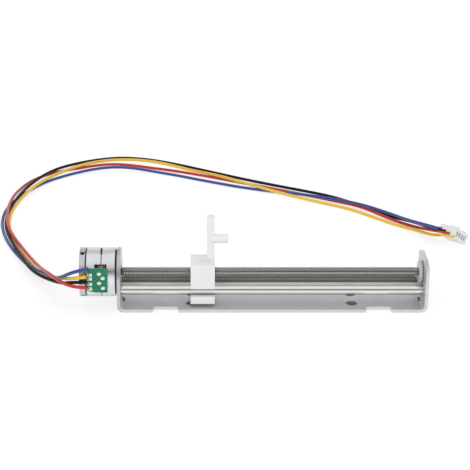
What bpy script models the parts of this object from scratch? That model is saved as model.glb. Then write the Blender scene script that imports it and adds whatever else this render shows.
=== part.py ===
# Stepper motor linear slide: a folded steel bracket carries a lead screw, two guide rods and a small
# can stack motor. The motor turns the screw and the screw drives a white carriage along the rods.
# Units are metres. X runs along the screw, away from the motor. Z is up. The underside of the bracket
# lies on z = 0 and the middle of that underside is the origin.
import math

import bmesh
import bpy
import numpy as np
from mathutils import Matrix, Vector

# Clearance kept between neighbouring pieces
GAP = 0.00025

# Folded bracket
BRACKET_LENGTH = 0.094
BRACKET_WIDTH = 0.0165
SHEET = 0.001
BEND_OUTER = 0.002
MOTOR_PLATE_TOP = 0.0175
FAR_PLATE_TOP = 0.0154
FAR_PLATE_TOP_HALF = 0.004
FAR_PLATE_SHOULDER = 0.0138
BASE_HOLE_R = 0.0017
BASE_HOLE_X = 0.0244
BASE_HOLE_Y = 0.0035
NOTCH_NEAR = 0.0284
NOTCH_FAR = 0.0362
NOTCH_DEPTH = 0.0022
NOTCH_CORNER = 0.0007
RELIEF_WIDTH = 0.0008
RELIEF_FROM_PLATE = 0.0002
RELIEF_Y = (-0.0022, 0.001)
RELIEF_TOP = 0.0024

# Screw line and guide rods
AXIS_Z = 0.010
SCREW_R = 0.0015
SHAFT_R = 0.001
PIN_R = 0.0007
ROD_R = 0.0015
ROD_Y = 0.0032
ROD_Z = 0.00535
ROD_END = 0.0001
SCREW_CHAMFER = 0.0002

# White bush that carries the free end of the screw
END_FLANGE_R = 0.0035
END_FLANGE = 0.00095
END_BOSS_R = 0.002
END_BOSS_OUT = 0.0004

# Motor, measured back from the outer face of the left plate
CAN_R = 0.0075
CAN_WALL = 0.0006
FLANGE_R = 0.0069
FLANGE_X = (0.00015, 0.00045)
FRONT_CUP = (0.0006, 0.0046)
REAR_CUP = (0.00485, 0.0092)
REAR_COVER = (0.0095, 0.0114)
KEY_SLOT_X = (0.0044, 0.0051)
KEY_SLOT_Y = (-0.0031, 0.0012)
KEY_SLOT_CORNER = 0.0003
CUP_END = 0.0005
CUP_BORE = 0.0052
POLE_THICK = 0.0004
POLE_COUNT = 6
POLE_TOOTH = 0.0014
TOOTH_R = 0.00435
TOOTH_THICK = 0.00035
BOBBIN_FLANGE_R = 0.0066
BOBBIN_BORE = 0.00495
BOBBIN_WALL = 0.0003
COIL_OUTER = 0.0064
MAGNET_R = 0.004
HUB_R = 0.0022
BEARING_R = 0.0022
WASHER = 0.0003
CRIMP_R = 0.0006
CRIMP_DEPTH = 0.0004
CRIMP_ANGLES = (69.0, 189.0, 309.0)
COVER_RIM = 0.00096
TOOTH_REACH = 0.7

# Window in the can, terminal block and circuit board, on the side that faces -Y
WINDOW_X = (0.00305, 0.00675)
WINDOW_Z = (0.006, 0.0148)
BLOCK_X = (0.0033, 0.0065)
BLOCK_Z = (0.0072, 0.0141)
BLOCK_BACK = -0.0069
BLOCK_FRONT = -0.0075
BOARD_BACK = -0.00775
BOARD_FRONT = -0.0083
COIL_JOINT_R = 0.00075
WIRE_JOINT_R = 0.0006
JOINT_HEIGHT = 0.00042
PIN_WIRE_R = 0.00025
BOARD_OUTLINE = ((-0.0094, 0.0074), (-0.0066, 0.0067), (-0.00275, 0.0067), (-0.00275, 0.01435),
                 (-0.0086, 0.01435), (-0.0094, 0.0134))
PAD_X = -0.0080
PAD_Z = (0.0125, 0.0112, 0.0095, 0.0080)
TERMINALS = ((-0.0052, 0.0129), (-0.0041, 0.0115), (-0.0052, 0.0099), (-0.0041, 0.0083))

# Carriage, measured from the outer face of the left plate
CARRIAGE_X = (0.02226, 0.02956)
CARRIAGE_BOTTOM = 0.0018
CARRIAGE_TOP = 0.01465
CARRIAGE_FRONT = -0.0062
CARRIAGE_REAR = 0.0062
CARRIAGE_TOP_REAR = 0.0027
CARRIAGE_WAIST_Y = 0.0039
CARRIAGE_WAIST_Z = (0.0079, 0.0131)
CARRIAGE_CORNER = 0.0003
SCREW_BORE = 0.0018
ROD_BORE = 0.00175
SLOT_Z = (0.0043, 0.0069)
ARM_X = (0.0272, 0.02945)
ARM_Y = (-0.0024, -0.0004)
ARM_TOP = 0.0288
PEG_R = 0.0014
PEG_Z = 0.0215
PEG_END = 0.0337
PEG_CHAMFER = 0.00025

# Flying lead and its white plug
WIRE_R = 0.00045
WIRE_POINTS = 68
PLUG_CENTRE = (0.061219, 0.048594, 0.003791)
PLUG_YAW = 49.47
PLUG_TILT = 3.48
PLUG_ROLL = 35.87
PLUG_PITCH = 0.0015
PLUG_LENGTH = 0.0066
PLUG_WIDTH = 0.0075
PLUG_THICK = 0.0036
PLUG_CORNER = 0.00025
CAVITY = (0.0011, 0.0015)
CONTACT = (0.0006, 0.0009)
CONTACT_START = 0.0008
CONTACT_LENGTH = 0.0046
RIB_LENGTH = 0.0036
RIB_WIDTH = 0.0008
RIB_TALL = 0.0005
RIB_OFFSET = 0.0021

# Hand chosen route of each wire in millimetres, from the outer face of the left plate
ROUTE_BLUE = (
    (-8.4, -9.1, 14.8), (-12.2, -8.0, 13.4), (-17.99, 0.17, 7.98), (-23.46, 13.01, 3.66),
    (-30.1, 25.8, 0.9), (-36.6, 38.9, 0.5), (-41.5, 52.7, 0.5), (-44.2, 67.1, 0.5), (-43.6, 81.8, 0.5),
    (-39.2, 95.8, 0.5), (-32.1, 108.6, 0.5), (-21.2, 118.2, 0.8), (-7.3, 122.4, 1.4), (7.0, 119.7, 0.7),
    (20.1, 113.2, 0.5), (32.8, 105.9, 0.6), (46.1, 99.7, 0.5), (59.7, 94.3, 0.9), (72.6, 87.3, 1.5),
    (83.9, 78.1, 2.3), (92.57, 69.1, 2.38), (98.92, 57.24, 4.11), (103.3, 51.2, 4.95),
    (106.55, 47.74, 5.09))
ROUTE_YELLOW = (
    (-9.1, -9.1, 12.1), (-12.22, -7.87, 11.24), (-17.13, 2.5, 6.7), (-23.24, 14.98, 1.91),
    (-29.9, 28.4, 0.6), (-35.8, 42.2, 0.5), (-40.0, 56.5, 0.5), (-41.9, 71.2, 0.6), (-40.6, 86.1, 0.8),
    (-36.3, 100.3, 1.6), (-29.3, 113.5, 1.7), (-19.3, 124.5, 1.9), (-6.1, 130.9, 1.6),
    (8.6, 129.7, 0.9), (21.2, 121.8, 0.6), (31.9, 111.6, 1.8), (43.3, 102.0, 1.8), (55.6, 93.6, 1.2),
    (68.4, 86.0, 0.6), (80.5, 77.2, 0.6), (91.12, 65.88, 0.49), (100.79, 56.78, 0.76),
    (105.83, 52.19, 1.24), (109.43, 49.98, 2.45))
ROUTE_BLACK = (
    (-9.1, -9.1, 10.4), (-12.11, -7.72, 9.77), (-18.1, 2.6, 5.2), (-26.42, 15.02, 2.81),
    (-32.6, 29.1, 2.0), (-37.6, 43.7, 1.4), (-41.6, 58.5, 0.8), (-43.1, 73.7, 0.7), (-41.1, 88.8, 1.6),
    (-37.2, 103.7, 1.8), (-30.9, 117.7, 1.7), (-21.1, 129.3, 0.9), (-6.9, 134.6, 1.0),
    (8.1, 132.2, 0.7), (21.5, 124.7, 0.5), (34.2, 116.1, 0.5), (47.2, 107.7, 0.5), (60.4, 100.0, 0.5),
    (73.4, 91.7, 0.6), (84.4, 81.0, 0.5), (93.18, 69.41, 1.21), (99.92, 58.26, 3.24),
    (103.85, 52.0, 4.02), (107.51, 48.48, 4.21))
ROUTE_RED = (
    (-9.1, -9.2, 8.7), (-12.34, -8.36, 8.6), (-19.67, -0.18, 8.31), (-25.0, 13.7, 5.3),
    (-29.8, 27.8, 2.8), (-35.0, 41.8, 1.7), (-40.2, 55.8, 1.9), (-42.8, 70.6, 2.2), (-43.0, 85.6, 1.9),
    (-41.4, 100.4, 0.6), (-35.1, 113.9, 0.5), (-23.3, 122.9, 0.5), (-9.0, 126.7, 1.1),
    (5.7, 124.2, 0.6), (19.5, 118.6, 0.5), (32.8, 111.6, 0.5), (45.8, 104.2, 0.5), (58.8, 96.7, 0.5),
    (71.7, 88.9, 0.5), (83.3, 79.4, 1.0), (92.18, 68.53, 0.79), (100.68, 58.48, 1.48),
    (105.15, 51.81, 3.01), (108.47, 49.23, 3.33))

LEFT_OUT = -BRACKET_LENGTH / 2
LEFT_IN = LEFT_OUT + SHEET
RIGHT_IN = -LEFT_IN
RIGHT_OUT = -LEFT_OUT
HALF_WIDTH = BRACKET_WIDTH / 2
ROUND_STEPS = 32
HIDDEN_STEPS = 24
HOLE_SIDES = 12
MILLIMETRE = 0.001
SMOOTH_ANGLE = math.radians(32)
MOTOR_AXIS = Vector((LEFT_OUT, 0, AXIS_Z))


# Scene preparation
def clear_scene():
    for obj in list(bpy.data.objects):
        bpy.data.objects.remove(obj, do_unlink=True)


def new_collection(name):
    collection = bpy.data.collections.new(name)
    bpy.context.scene.collection.children.link(collection)
    return collection


clear_scene()
PARTS = new_collection("stepper_linear_slide")
CUTTERS = new_collection("cutters")


# Materials
def material(name, colour, roughness, metallic, alpha=1.0):
    mat = bpy.data.materials.new(name)
    mat.use_nodes = True
    shader = mat.node_tree.nodes["Principled BSDF"]
    shader.inputs["Base Color"].default_value = (*colour, 1.0)
    shader.inputs["Roughness"].default_value = roughness
    shader.inputs["Metallic"].default_value = metallic
    shader.inputs["Alpha"].default_value = alpha
    mat.diffuse_color = (*colour, alpha)
    return mat


def galvanised_sheet():
    return material("galvanised_sheet", (0.47, 0.50, 0.52), 0.42, 0.9)


def bright_zinc(name):
    return material(name, (0.62, 0.64, 0.69), 0.25, 0.95)


def polished_rod(name):
    return material(name, (0.66, 0.64, 0.62), 0.08, 1.0)


def screw_steel():
    return material("screw_steel", (0.30, 0.28, 0.26), 0.3, 1.0)


def white_plastic(name):
    return material(name, (0.86, 0.86, 0.87), 0.38, 0.0)


def black_ferrite():
    return material("black_ferrite", (0.05, 0.05, 0.055), 0.6, 0.0)


def pole_iron(name):
    return material(name, (0.50, 0.51, 0.53), 0.35, 0.9)


def bobbin_plastic(name):
    return material(name, (0.62, 0.36, 0.30), 0.5, 0.0)


def copper_winding(name):
    return material(name, (0.55, 0.17, 0.06), 0.35, 0.8)


def bronze(name):
    return material(name, (0.50, 0.36, 0.18), 0.45, 0.9)


def board_green():
    return material("board_green", (0.012, 0.30, 0.14), 0.35, 0.0)


def solder():
    return material("solder", (0.78, 0.78, 0.77), 0.22, 0.95)


def wire_jacket(name, colour):
    return material(name, colour, 0.42, 0.0)


def contact_metal(name):
    return material(name, (0.70, 0.68, 0.62), 0.3, 1.0)


# Every piece is shaded smooth except along edges sharper than the limit
def shading_group():
    group = bpy.data.node_groups.new("shade_by_angle", "GeometryNodeTree")
    group.interface.new_socket("Geometry", in_out="INPUT", socket_type="NodeSocketGeometry")
    group.interface.new_socket("Geometry", in_out="OUTPUT", socket_type="NodeSocketGeometry")
    nodes = group.nodes
    start = nodes.new("NodeGroupInput")
    end = nodes.new("NodeGroupOutput")
    faces = nodes.new("GeometryNodeSetShadeSmooth")
    edges = nodes.new("GeometryNodeSetShadeSmooth")
    edges.domain = "EDGE"
    edges.inputs["Shade Smooth"].default_value = False
    angle = nodes.new("GeometryNodeInputMeshEdgeAngle")
    sharper = nodes.new("FunctionNodeCompare")
    sharper.operation = "GREATER_THAN"
    sharper.inputs["B"].default_value = SMOOTH_ANGLE
    links = group.links
    links.new(start.outputs[0], faces.inputs["Geometry"])
    links.new(faces.outputs[0], edges.inputs["Geometry"])
    links.new(angle.outputs["Unsigned Angle"], sharper.inputs["A"])
    links.new(sharper.outputs[0], edges.inputs["Selection"])
    links.new(edges.outputs[0], end.inputs[0])
    return group


SHADING = shading_group()


# Shape tools
def link_part(obj, mat):
    PARTS.objects.link(obj)
    obj.data.materials.clear()
    obj.data.materials.append(mat)
    if obj.type == "MESH":
        shade = obj.modifiers.new("shading", "NODES")
        shade.node_group = SHADING
    return obj


def link_cutter(obj):
    CUTTERS.objects.link(obj)
    obj.hide_render = True
    obj.display_type = "WIRE"
    return obj


def mesh_object(name, vertices, faces, edges=()):
    mesh = bpy.data.meshes.new(name)
    mesh.from_pydata([tuple(v) for v in vertices], list(edges), list(faces))
    mesh.update()
    return bpy.data.objects.new(name, mesh)


def place(obj, matrix):
    obj.data.transform(matrix)
    obj.data.update()
    return obj


def arc(centre, radius, start, end, steps):
    points = []
    for k in range(steps + 1):
        a = math.radians(start + (end - start) * k / steps)
        points.append((centre[0] + radius * math.cos(a), centre[1] + radius * math.sin(a)))
    return points


def rounded_polygon(corners, radius, steps=4):
    """Outline through the corners, each one replaced by a tangent arc."""
    outline = []
    count = len(corners)
    for k in range(count):
        here = Vector(corners[k])
        back = (Vector(corners[k - 1]) - here).normalized()
        ahead = (Vector(corners[(k + 1) % count]) - here).normalized()
        half = back.angle(ahead) / 2
        reach = radius / math.tan(half)
        centre = here + (back + ahead).normalized() * (radius / math.sin(half))
        first = here + back * reach - centre
        last = here + ahead * reach - centre
        for s in range(steps + 1):
            mix = first.lerp(last, s / steps).normalized() * radius
            outline.append(tuple(centre + mix))
    return outline


def prism(name, outline, low, high, plane):
    """Extrude a closed outline. plane XZ extrudes along Y, YZ along X and XY along Z."""
    curve = bpy.data.curves.new(name + "_outline", "CURVE")
    curve.dimensions = "2D"
    curve.fill_mode = "BOTH"
    spline = curve.splines.new("POLY")
    spline.points.add(len(outline) - 1)
    for point, (u, v) in zip(spline.points, outline):
        point.co = (u, v, 0, 1)
    spline.use_cyclic_u = True
    curve.extrude = (high - low) / 2
    drawn = bpy.data.objects.new(name + "_drawn", curve)
    bpy.context.scene.collection.objects.link(drawn)
    bpy.context.view_layer.update()
    graph = bpy.context.evaluated_depsgraph_get()
    mesh = bpy.data.meshes.new_from_object(drawn.evaluated_get(graph))
    bpy.data.objects.remove(drawn, do_unlink=True)
    bpy.data.curves.remove(curve)
    middle = (low + high) / 2
    frames = {
        "XY": Matrix(((1, 0, 0, 0), (0, 1, 0, 0), (0, 0, 1, middle), (0, 0, 0, 1))),
        "XZ": Matrix(((1, 0, 0, 0), (0, 0, -1, middle), (0, 1, 0, 0), (0, 0, 0, 1))),
        "YZ": Matrix(((0, 0, 1, middle), (1, 0, 0, 0), (0, 1, 0, 0), (0, 0, 0, 1))),
    }
    work = bmesh.new()
    work.from_mesh(mesh)
    bmesh.ops.remove_doubles(work, verts=work.verts, dist=1e-6)
    bmesh.ops.recalc_face_normals(work, faces=work.faces)
    work.to_mesh(mesh)
    work.free()
    mesh.name = name
    return place(bpy.data.objects.new(name, mesh), frames[plane])


def block(name, x, y, z):
    corners = ((x[0], y[0]), (x[1], y[0]), (x[1], y[1]), (x[0], y[1]))
    return prism(name, corners, z[0], z[1], "XY")


def turned(name, profile, origin, closed=True, steps=ROUND_STEPS):
    """Revolve a profile of (distance along X, radius) about the line through origin along X."""
    count = len(profile)
    edges = [(k, k + 1) for k in range(count - 1)]
    if closed:
        edges.append((count - 1, 0))
    obj = mesh_object(name, [(r, 0, x) for x, r in profile], (), edges)
    screw = obj.modifiers.new("turn", "SCREW")
    screw.axis = "Z"
    screw.angle = math.tau
    screw.steps = steps
    screw.render_steps = steps
    screw.use_merge_vertices = True
    screw.merge_threshold = 0.00001
    obj.location = origin
    obj.rotation_euler = (0, math.pi / 2, 0)
    return obj


def ring(name, x, inner, outer, steps=HIDDEN_STEPS):
    """A plain ring on the motor axis, between two distances along X."""
    low, high = min(x), max(x)
    profile = ((high, inner), (high, outer), (low, outer), (low, inner))
    return turned(name, profile, MOTOR_AXIS, steps=steps)


def bar(name, stations, origin):
    """A solid of round sections: stations are (distance along X, radius) from the far end back."""
    profile = [(stations[0][0], 0), *stations, (stations[-1][0], 0)]
    return turned(name, profile, origin, closed=False)


def cylinder_cutter(name, radius, low, high, centre, plane, steps=ROUND_STEPS):
    outline = arc(centre, radius, 0, 360 - 360 / steps, steps - 1)
    return link_cutter(prism(name, outline, low, high, plane))


def boolean(obj, other, operation="DIFFERENCE", solver="EXACT"):
    mod = obj.modifiers.new(other.name, "BOOLEAN")
    mod.operation = operation
    mod.solver = solver
    mod.object = other
    return mod


# Bracket
def bracket_profile():
    """U shaped section of the folded sheet, seen along Y, with both plates left too tall."""
    inner = BEND_OUTER - SHEET
    x = RIGHT_OUT - BEND_OUTER
    top = MOTOR_PLATE_TOP + SHEET
    right_outer = arc((x, BEND_OUTER), BEND_OUTER, -90, 0, 6)
    right_inner = arc((x, BEND_OUTER), inner, 0, -90, 6)
    half = [*right_outer, (RIGHT_OUT, top), (RIGHT_IN, top), *right_inner]
    mirrored = [(-u, v) for u, v in reversed(half)]
    return half + mirrored


def trim_outline(edge):
    """Everything above the upper edge of a plate. The edge runs from the front to the rear."""
    wide = HALF_WIDTH + SHEET
    high = MOTOR_PLATE_TOP + 2 * SHEET
    return [(-wide, edge[0][1]), *edge, (wide, edge[-1][1]), (wide, high), (-wide, high)]


def motor_plate_edge():
    """The plate that carries the motor ends in a half round as wide as the bracket."""
    return arc((0, MOTOR_PLATE_TOP - HALF_WIDTH), HALF_WIDTH, 180, 0, 20)


def far_plate_edge():
    return [(-HALF_WIDTH, FAR_PLATE_SHOULDER), (-FAR_PLATE_TOP_HALF, FAR_PLATE_TOP),
            (FAR_PLATE_TOP_HALF, FAR_PLATE_TOP), (HALF_WIDTH, FAR_PLATE_SHOULDER)]


def bracket():
    body = prism("bracket", bracket_profile(), -HALF_WIDTH, HALF_WIDTH, "XZ")
    link_part(body, galvanised_sheet())
    body.modifiers.clear()
    motor_trim = prism("motor_plate_trim", trim_outline(motor_plate_edge()),
                       LEFT_OUT - SHEET, LEFT_IN + SHEET, "YZ")
    boolean(body, link_cutter(motor_trim))
    far_trim = prism("far_plate_trim", trim_outline(far_plate_edge()),
                     RIGHT_IN - SHEET, RIGHT_OUT + SHEET, "YZ")
    boolean(body, link_cutter(far_trim))
    for side in (-1, 1):
        for end in (-1, 1):
            near, far = end * NOTCH_NEAR, end * NOTCH_FAR
            edge, floor = side * BRACKET_WIDTH, side * (HALF_WIDTH - NOTCH_DEPTH)
            corners = ((near, edge), (near, floor), (far, floor), (far, edge))
            notch = prism(f"notch_{side}_{end}", rounded_polygon(corners, NOTCH_CORNER),
                          -SHEET, SHEET * 2, "XY")
            boolean(body, link_cutter(notch))
            hole = cylinder_cutter(f"base_hole_{side}_{end}", BASE_HOLE_R, -SHEET, SHEET * 2,
                                   (end * BASE_HOLE_X, side * BASE_HOLE_Y), "XY")
            boolean(body, hole, solver="MANIFOLD")
    for end in (-1, 1):
        outer = end * (RIGHT_IN - RELIEF_FROM_PLATE)
        inner = outer - end * RELIEF_WIDTH
        relief = block(f"relief_{end}", (min(inner, outer), max(inner, outer)), RELIEF_Y,
                       (-SHEET, RELIEF_TOP))
        boolean(body, link_cutter(relief))
        low, high = sorted((end * (RIGHT_IN - SHEET), end * (RIGHT_OUT + SHEET)))
        for side in (-1, 1):
            rod_hole = cylinder_cutter(f"rod_hole_{end}_{side}", ROD_R + GAP, low, high,
                                       (side * ROD_Y, ROD_Z), "YZ")
            boolean(body, rod_hole)
        radius = END_BOSS_R if end > 0 else BEARING_R
        boolean(body, cylinder_cutter(f"screw_hole_{end}", radius + GAP, low, high, (0, AXIS_Z), "YZ"))
    shade = body.modifiers.new("shading", "NODES")
    shade.node_group = SHADING
    return body


# Screw, rods and bearings
def lead_screw():
    free_end = RIGHT_IN - END_FLANGE - 2 * GAP - LEFT_OUT
    threads_start = SHEET + GAP
    tail = -(REAR_COVER[1] - 2 * GAP)
    stations = (
        (RIGHT_OUT - LEFT_OUT - GAP, PIN_R), (free_end, PIN_R), (free_end, SCREW_R - SCREW_CHAMFER),
        (free_end - SCREW_CHAMFER, SCREW_R), (threads_start + SCREW_CHAMFER, SCREW_R),
        (threads_start, SCREW_R - SCREW_CHAMFER), (threads_start, SHAFT_R),
        (-REAR_COVER[0], SHAFT_R), (-REAR_COVER[0], PIN_R), (tail, PIN_R))
    return link_part(bar("lead_screw", stations, MOTOR_AXIS), screw_steel())


def guide_rod(name, side):
    origin = Vector((0, side * ROD_Y, ROD_Z))
    end = RIGHT_OUT - ROD_END
    stations = ((end, ROD_R - SCREW_CHAMFER), (end - SCREW_CHAMFER, ROD_R),
                (SCREW_CHAMFER - end, ROD_R), (-end, ROD_R - SCREW_CHAMFER))
    return link_part(bar(name, stations, origin), polished_rod(name + "_steel"))


def end_bearing():
    inner_face = RIGHT_IN - LEFT_OUT - GAP
    out = RIGHT_OUT - LEFT_OUT + END_BOSS_OUT
    lip = inner_face - END_FLANGE
    bore = PIN_R + GAP
    blind = RIGHT_OUT - LEFT_OUT
    stations = ((out, 0), (out, END_BOSS_R), (inner_face, END_BOSS_R), (inner_face, END_FLANGE_R),
                (lip, END_FLANGE_R), (lip, bore), (blind, bore), (blind, 0))
    obj = turned("end_bearing", stations, MOTOR_AXIS, closed=False)
    return link_part(obj, white_plastic("end_bearing_nylon"))


def front_bearing():
    x = (SHEET - GAP / 2, -(FLANGE_X[1] + GAP))
    return link_part(ring("front_bearing", x, SHAFT_R + GAP, BEARING_R), bronze("front_bearing_bronze"))


def rear_bearing():
    x = (-(REAR_CUP[1] - GAP), -(REAR_COVER[1] - CUP_END - GAP))
    return link_part(ring("rear_bearing", x, SHAFT_R + GAP, BEARING_R), bronze("rear_bearing_bronze"))


# Rotor
def rotor_span():
    return (-(FLANGE_X[1] + 4 * GAP + 2 * WASHER), -(REAR_CUP[1] - 3 * GAP - WASHER))


def rotor_hub():
    return link_part(ring("rotor_hub", rotor_span(), SHAFT_R + GAP, HUB_R), white_plastic("rotor_hub_resin"))


def rotor_magnet():
    front, rear = rotor_span()
    x = (front - WASHER, rear + WASHER)
    return link_part(ring("rotor_magnet", x, HUB_R + GAP, MAGNET_R), black_ferrite())


def thrust_washer(name, near):
    x = (near, near - WASHER)
    return link_part(ring(name, x, SHAFT_R + GAP, HUB_R - GAP), bronze(name + "_bronze"))


# Stator
def pole_teeth(name, root, tip):
    """Claw poles: a ring of flat teeth that reach from root to tip along X."""
    low, high = sorted((-root, -tip))
    teeth = []
    for k in range(POLE_COUNT):
        turn = Matrix.Rotation(math.tau * (k + 0.5) / POLE_COUNT, 4, "X")
        tooth = block(f"{name}_{k}", (low, high), (-POLE_TOOTH / 2, POLE_TOOTH / 2),
                      (TOOTH_R, TOOTH_R + TOOTH_THICK))
        place(tooth, Matrix.Translation(MOTOR_AXIS) @ turn)
        teeth.append(link_cutter(tooth))
    return teeth


def window_cutter():
    low, high = LEFT_OUT - WINDOW_X[1], LEFT_OUT - WINDOW_X[0]
    cutter = block("window", (low, high), (-CAN_R - SHEET, -BOBBIN_BORE + SHEET), WINDOW_Z)
    return link_cutter(cutter)


def key_slot_cutter():
    """Short round ended slot across the seam of the two cups, at the top of the can."""
    low, high = LEFT_OUT - KEY_SLOT_X[1], LEFT_OUT - KEY_SLOT_X[0]
    corners = ((low, KEY_SLOT_Y[0]), (high, KEY_SLOT_Y[0]), (high, KEY_SLOT_Y[1]), (low, KEY_SLOT_Y[1]))
    floor = AXIS_Z + BOBBIN_FLANGE_R - 2 * CAN_WALL
    slot = prism("key_slot", rounded_polygon(corners, KEY_SLOT_CORNER), floor, AXIS_Z + CAN_R + SHEET, "XY")
    return link_cutter(slot)


def stator_cup(name, near, far, closed_end, openings):
    """Drawn cup, closed at one end by an inward flange, with claw poles bent in from its bore."""
    inner = CAN_R - CAN_WALL
    open_end = far if closed_end == near else near
    step = CUP_END if open_end > closed_end else -CUP_END
    profile = ((-closed_end, TOOTH_R), (-closed_end, CAN_R), (-open_end, CAN_R), (-open_end, inner),
               (-(closed_end + step), inner), (-(closed_end + step), TOOTH_R))
    cup = turned(name, profile, MOTOR_AXIS)
    tip = closed_end + (open_end - closed_end) * TOOTH_REACH
    link_part(cup, bright_zinc(name + "_zinc"))
    cup.modifiers.remove(cup.modifiers["shading"])
    for tooth in pole_teeth(name + "_pole", closed_end + step / 2, tip):
        boolean(cup, tooth, "UNION")
    for opening in openings:
        boolean(cup, opening)
    shade = cup.modifiers.new("shading", "NODES")
    shade.node_group = SHADING
    return cup


def pole_plate(name, face, inward):
    x = (-face, -(face + inward * POLE_THICK))
    return link_part(ring(name, x, CUP_BORE, BOBBIN_FLANGE_R), pole_iron(name + "_iron"))


def bobbin(name, low, high):
    """Flanged spool that carries one winding."""
    core = BOBBIN_BORE + BOBBIN_WALL
    profile = ((-low, BOBBIN_BORE), (-low, BOBBIN_FLANGE_R), (-low - BOBBIN_WALL, BOBBIN_FLANGE_R),
               (-low - BOBBIN_WALL, core), (-high + BOBBIN_WALL, core),
               (-high + BOBBIN_WALL, BOBBIN_FLANGE_R), (-high, BOBBIN_FLANGE_R), (-high, BOBBIN_BORE))
    return link_part(turned(name, profile, MOTOR_AXIS), bobbin_plastic(name + "_plastic"))


def winding(name, low, high):
    x = (-(low + BOBBIN_WALL + GAP), -(high - BOBBIN_WALL - GAP))
    coil = ring(name, x, BOBBIN_BORE + BOBBIN_WALL + GAP, COIL_OUTER, ROUND_STEPS)
    return link_part(coil, copper_winding(name + "_copper"))


def motor_flange():
    """Small disc between the bracket and the can. It stands back from both, so a groove shows."""
    x = (-FLANGE_X[0], -FLANGE_X[1])
    disc = ring("motor_flange", x, BEARING_R + GAP, FLANGE_R, ROUND_STEPS)
    return link_part(disc, bright_zinc("motor_flange_zinc"))


def rear_cover():
    """Cap that closes the can, with a boss round the rear bearing and crimp marks in its rim."""
    front, back = -REAR_COVER[0], -REAR_COVER[1]
    floor = back + CUP_END
    boss = BEARING_R + GAP
    profile = ((floor, 0), (floor, boss), (front, boss), (front, boss + CAN_WALL),
               (floor, boss + CAN_WALL), (floor, CAN_R - COVER_RIM),
               (front, CAN_R - COVER_RIM), (front, CAN_R), (back, CAN_R), (back, 0))
    cover = turned("rear_cover", profile, MOTOR_AXIS, closed=False)
    link_part(cover, bright_zinc("rear_cover_zinc"))
    cover.modifiers.remove(cover.modifiers["shading"])
    middle = LEFT_OUT + (front + back) / 2
    for angle in CRIMP_ANGLES:
        outline = arc((middle, 0), CRIMP_R, 0, 360 - 360 / HOLE_SIDES, HOLE_SIDES - 1)
        pit = prism(f"crimp_{int(angle)}", outline, CAN_R - CRIMP_DEPTH, CAN_R + SHEET, "XY")
        turn = Matrix.Rotation(math.radians(90 - angle), 4, "X")
        place(pit, Matrix.Translation((0, 0, AXIS_Z)) @ turn)
        boolean(cover, link_cutter(pit))
    shade = cover.modifiers.new("shading", "NODES")
    shade.node_group = SHADING
    return cover


# Circuit board and its terminals
def terminal_block():
    low, high = LEFT_OUT - BLOCK_X[1], LEFT_OUT - BLOCK_X[0]
    body = block("terminal_block", (low, high), (BLOCK_FRONT, BLOCK_BACK), BLOCK_Z)
    link_part(body, bobbin_plastic("terminal_block_plastic"))
    body.modifiers.clear()
    for k, (x, z) in enumerate(TERMINALS):
        hole = cylinder_cutter(f"block_hole_{k}", PIN_WIRE_R + GAP, BLOCK_FRONT - SHEET, BLOCK_BACK + SHEET,
                               (LEFT_OUT + x, z), "XZ", HOLE_SIDES)
        boolean(body, hole, solver="MANIFOLD")
    return body


def circuit_board():
    outline = [(LEFT_OUT + x, z) for x, z in BOARD_OUTLINE]
    board = prism("circuit_board", outline, BOARD_FRONT, BOARD_BACK, "XZ")
    link_part(board, board_green())
    board.modifiers.clear()
    for k, (x, z) in enumerate(TERMINALS):
        hole = cylinder_cutter(f"board_hole_{k}", PIN_WIRE_R + GAP, BOARD_FRONT - SHEET, BOARD_BACK + SHEET,
                               (LEFT_OUT + x, z), "XZ", HOLE_SIDES)
        boolean(board, hole)
    return board


def terminal_pins():
    mat = contact_metal("terminal_pin_tin")
    for k, (x, z) in enumerate(TERMINALS):
        outline = arc((LEFT_OUT + x, z), PIN_WIRE_R, 0, 360 - 360 / HOLE_SIDES, HOLE_SIDES - 1)
        link_part(prism(f"terminal_pin_{k + 1}", outline, BOARD_FRONT + GAP / 2, BLOCK_BACK, "XZ"), mat)


def dome(name, x, z, radius):
    """A solder joint: a low dome that stands on the face of the board."""
    rings = 3
    sides = HOLE_SIDES
    vertices = []
    base = BOARD_FRONT - GAP / 5
    for level in range(rings):
        a = math.radians(90 * level / rings)
        for s in range(sides):
            t = math.tau * s / sides
            reach = radius * math.cos(a)
            front = base - JOINT_HEIGHT * math.sin(a)
            vertices.append((x + reach * math.cos(t), front, z + reach * math.sin(t)))
    vertices.append((x, base - JOINT_HEIGHT, z))
    faces = [tuple(range(sides - 1, -1, -1))]
    for level in range(rings - 1):
        for s in range(sides):
            a, b = level * sides + s, level * sides + (s + 1) % sides
            faces.append((a, b, b + sides, a + sides))
    last = (rings - 1) * sides
    for s in range(sides):
        faces.append((last + s, last + (s + 1) % sides, len(vertices) - 1))
    return mesh_object(name, vertices, faces)


def solder_joints():
    mat = solder()
    for k, z in enumerate(PAD_Z):
        link_part(dome(f"wire_joint_{k + 1}", LEFT_OUT + PAD_X, z, WIRE_JOINT_R), mat)
    for k, (x, z) in enumerate(TERMINALS):
        link_part(dome(f"coil_joint_{k + 1}", LEFT_OUT + x, z, COIL_JOINT_R), mat)


# Carriage
def carriage_outline():
    corners = (
        (CARRIAGE_FRONT, CARRIAGE_BOTTOM), (CARRIAGE_REAR, CARRIAGE_BOTTOM),
        (CARRIAGE_REAR, CARRIAGE_WAIST_Z[0]), (CARRIAGE_WAIST_Y, CARRIAGE_WAIST_Z[0] + SHEET),
        (CARRIAGE_WAIST_Y, CARRIAGE_WAIST_Z[1]), (CARRIAGE_TOP_REAR, CARRIAGE_TOP),
        (CARRIAGE_FRONT, CARRIAGE_TOP))
    return rounded_polygon(corners, CARRIAGE_CORNER, 3)


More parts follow.
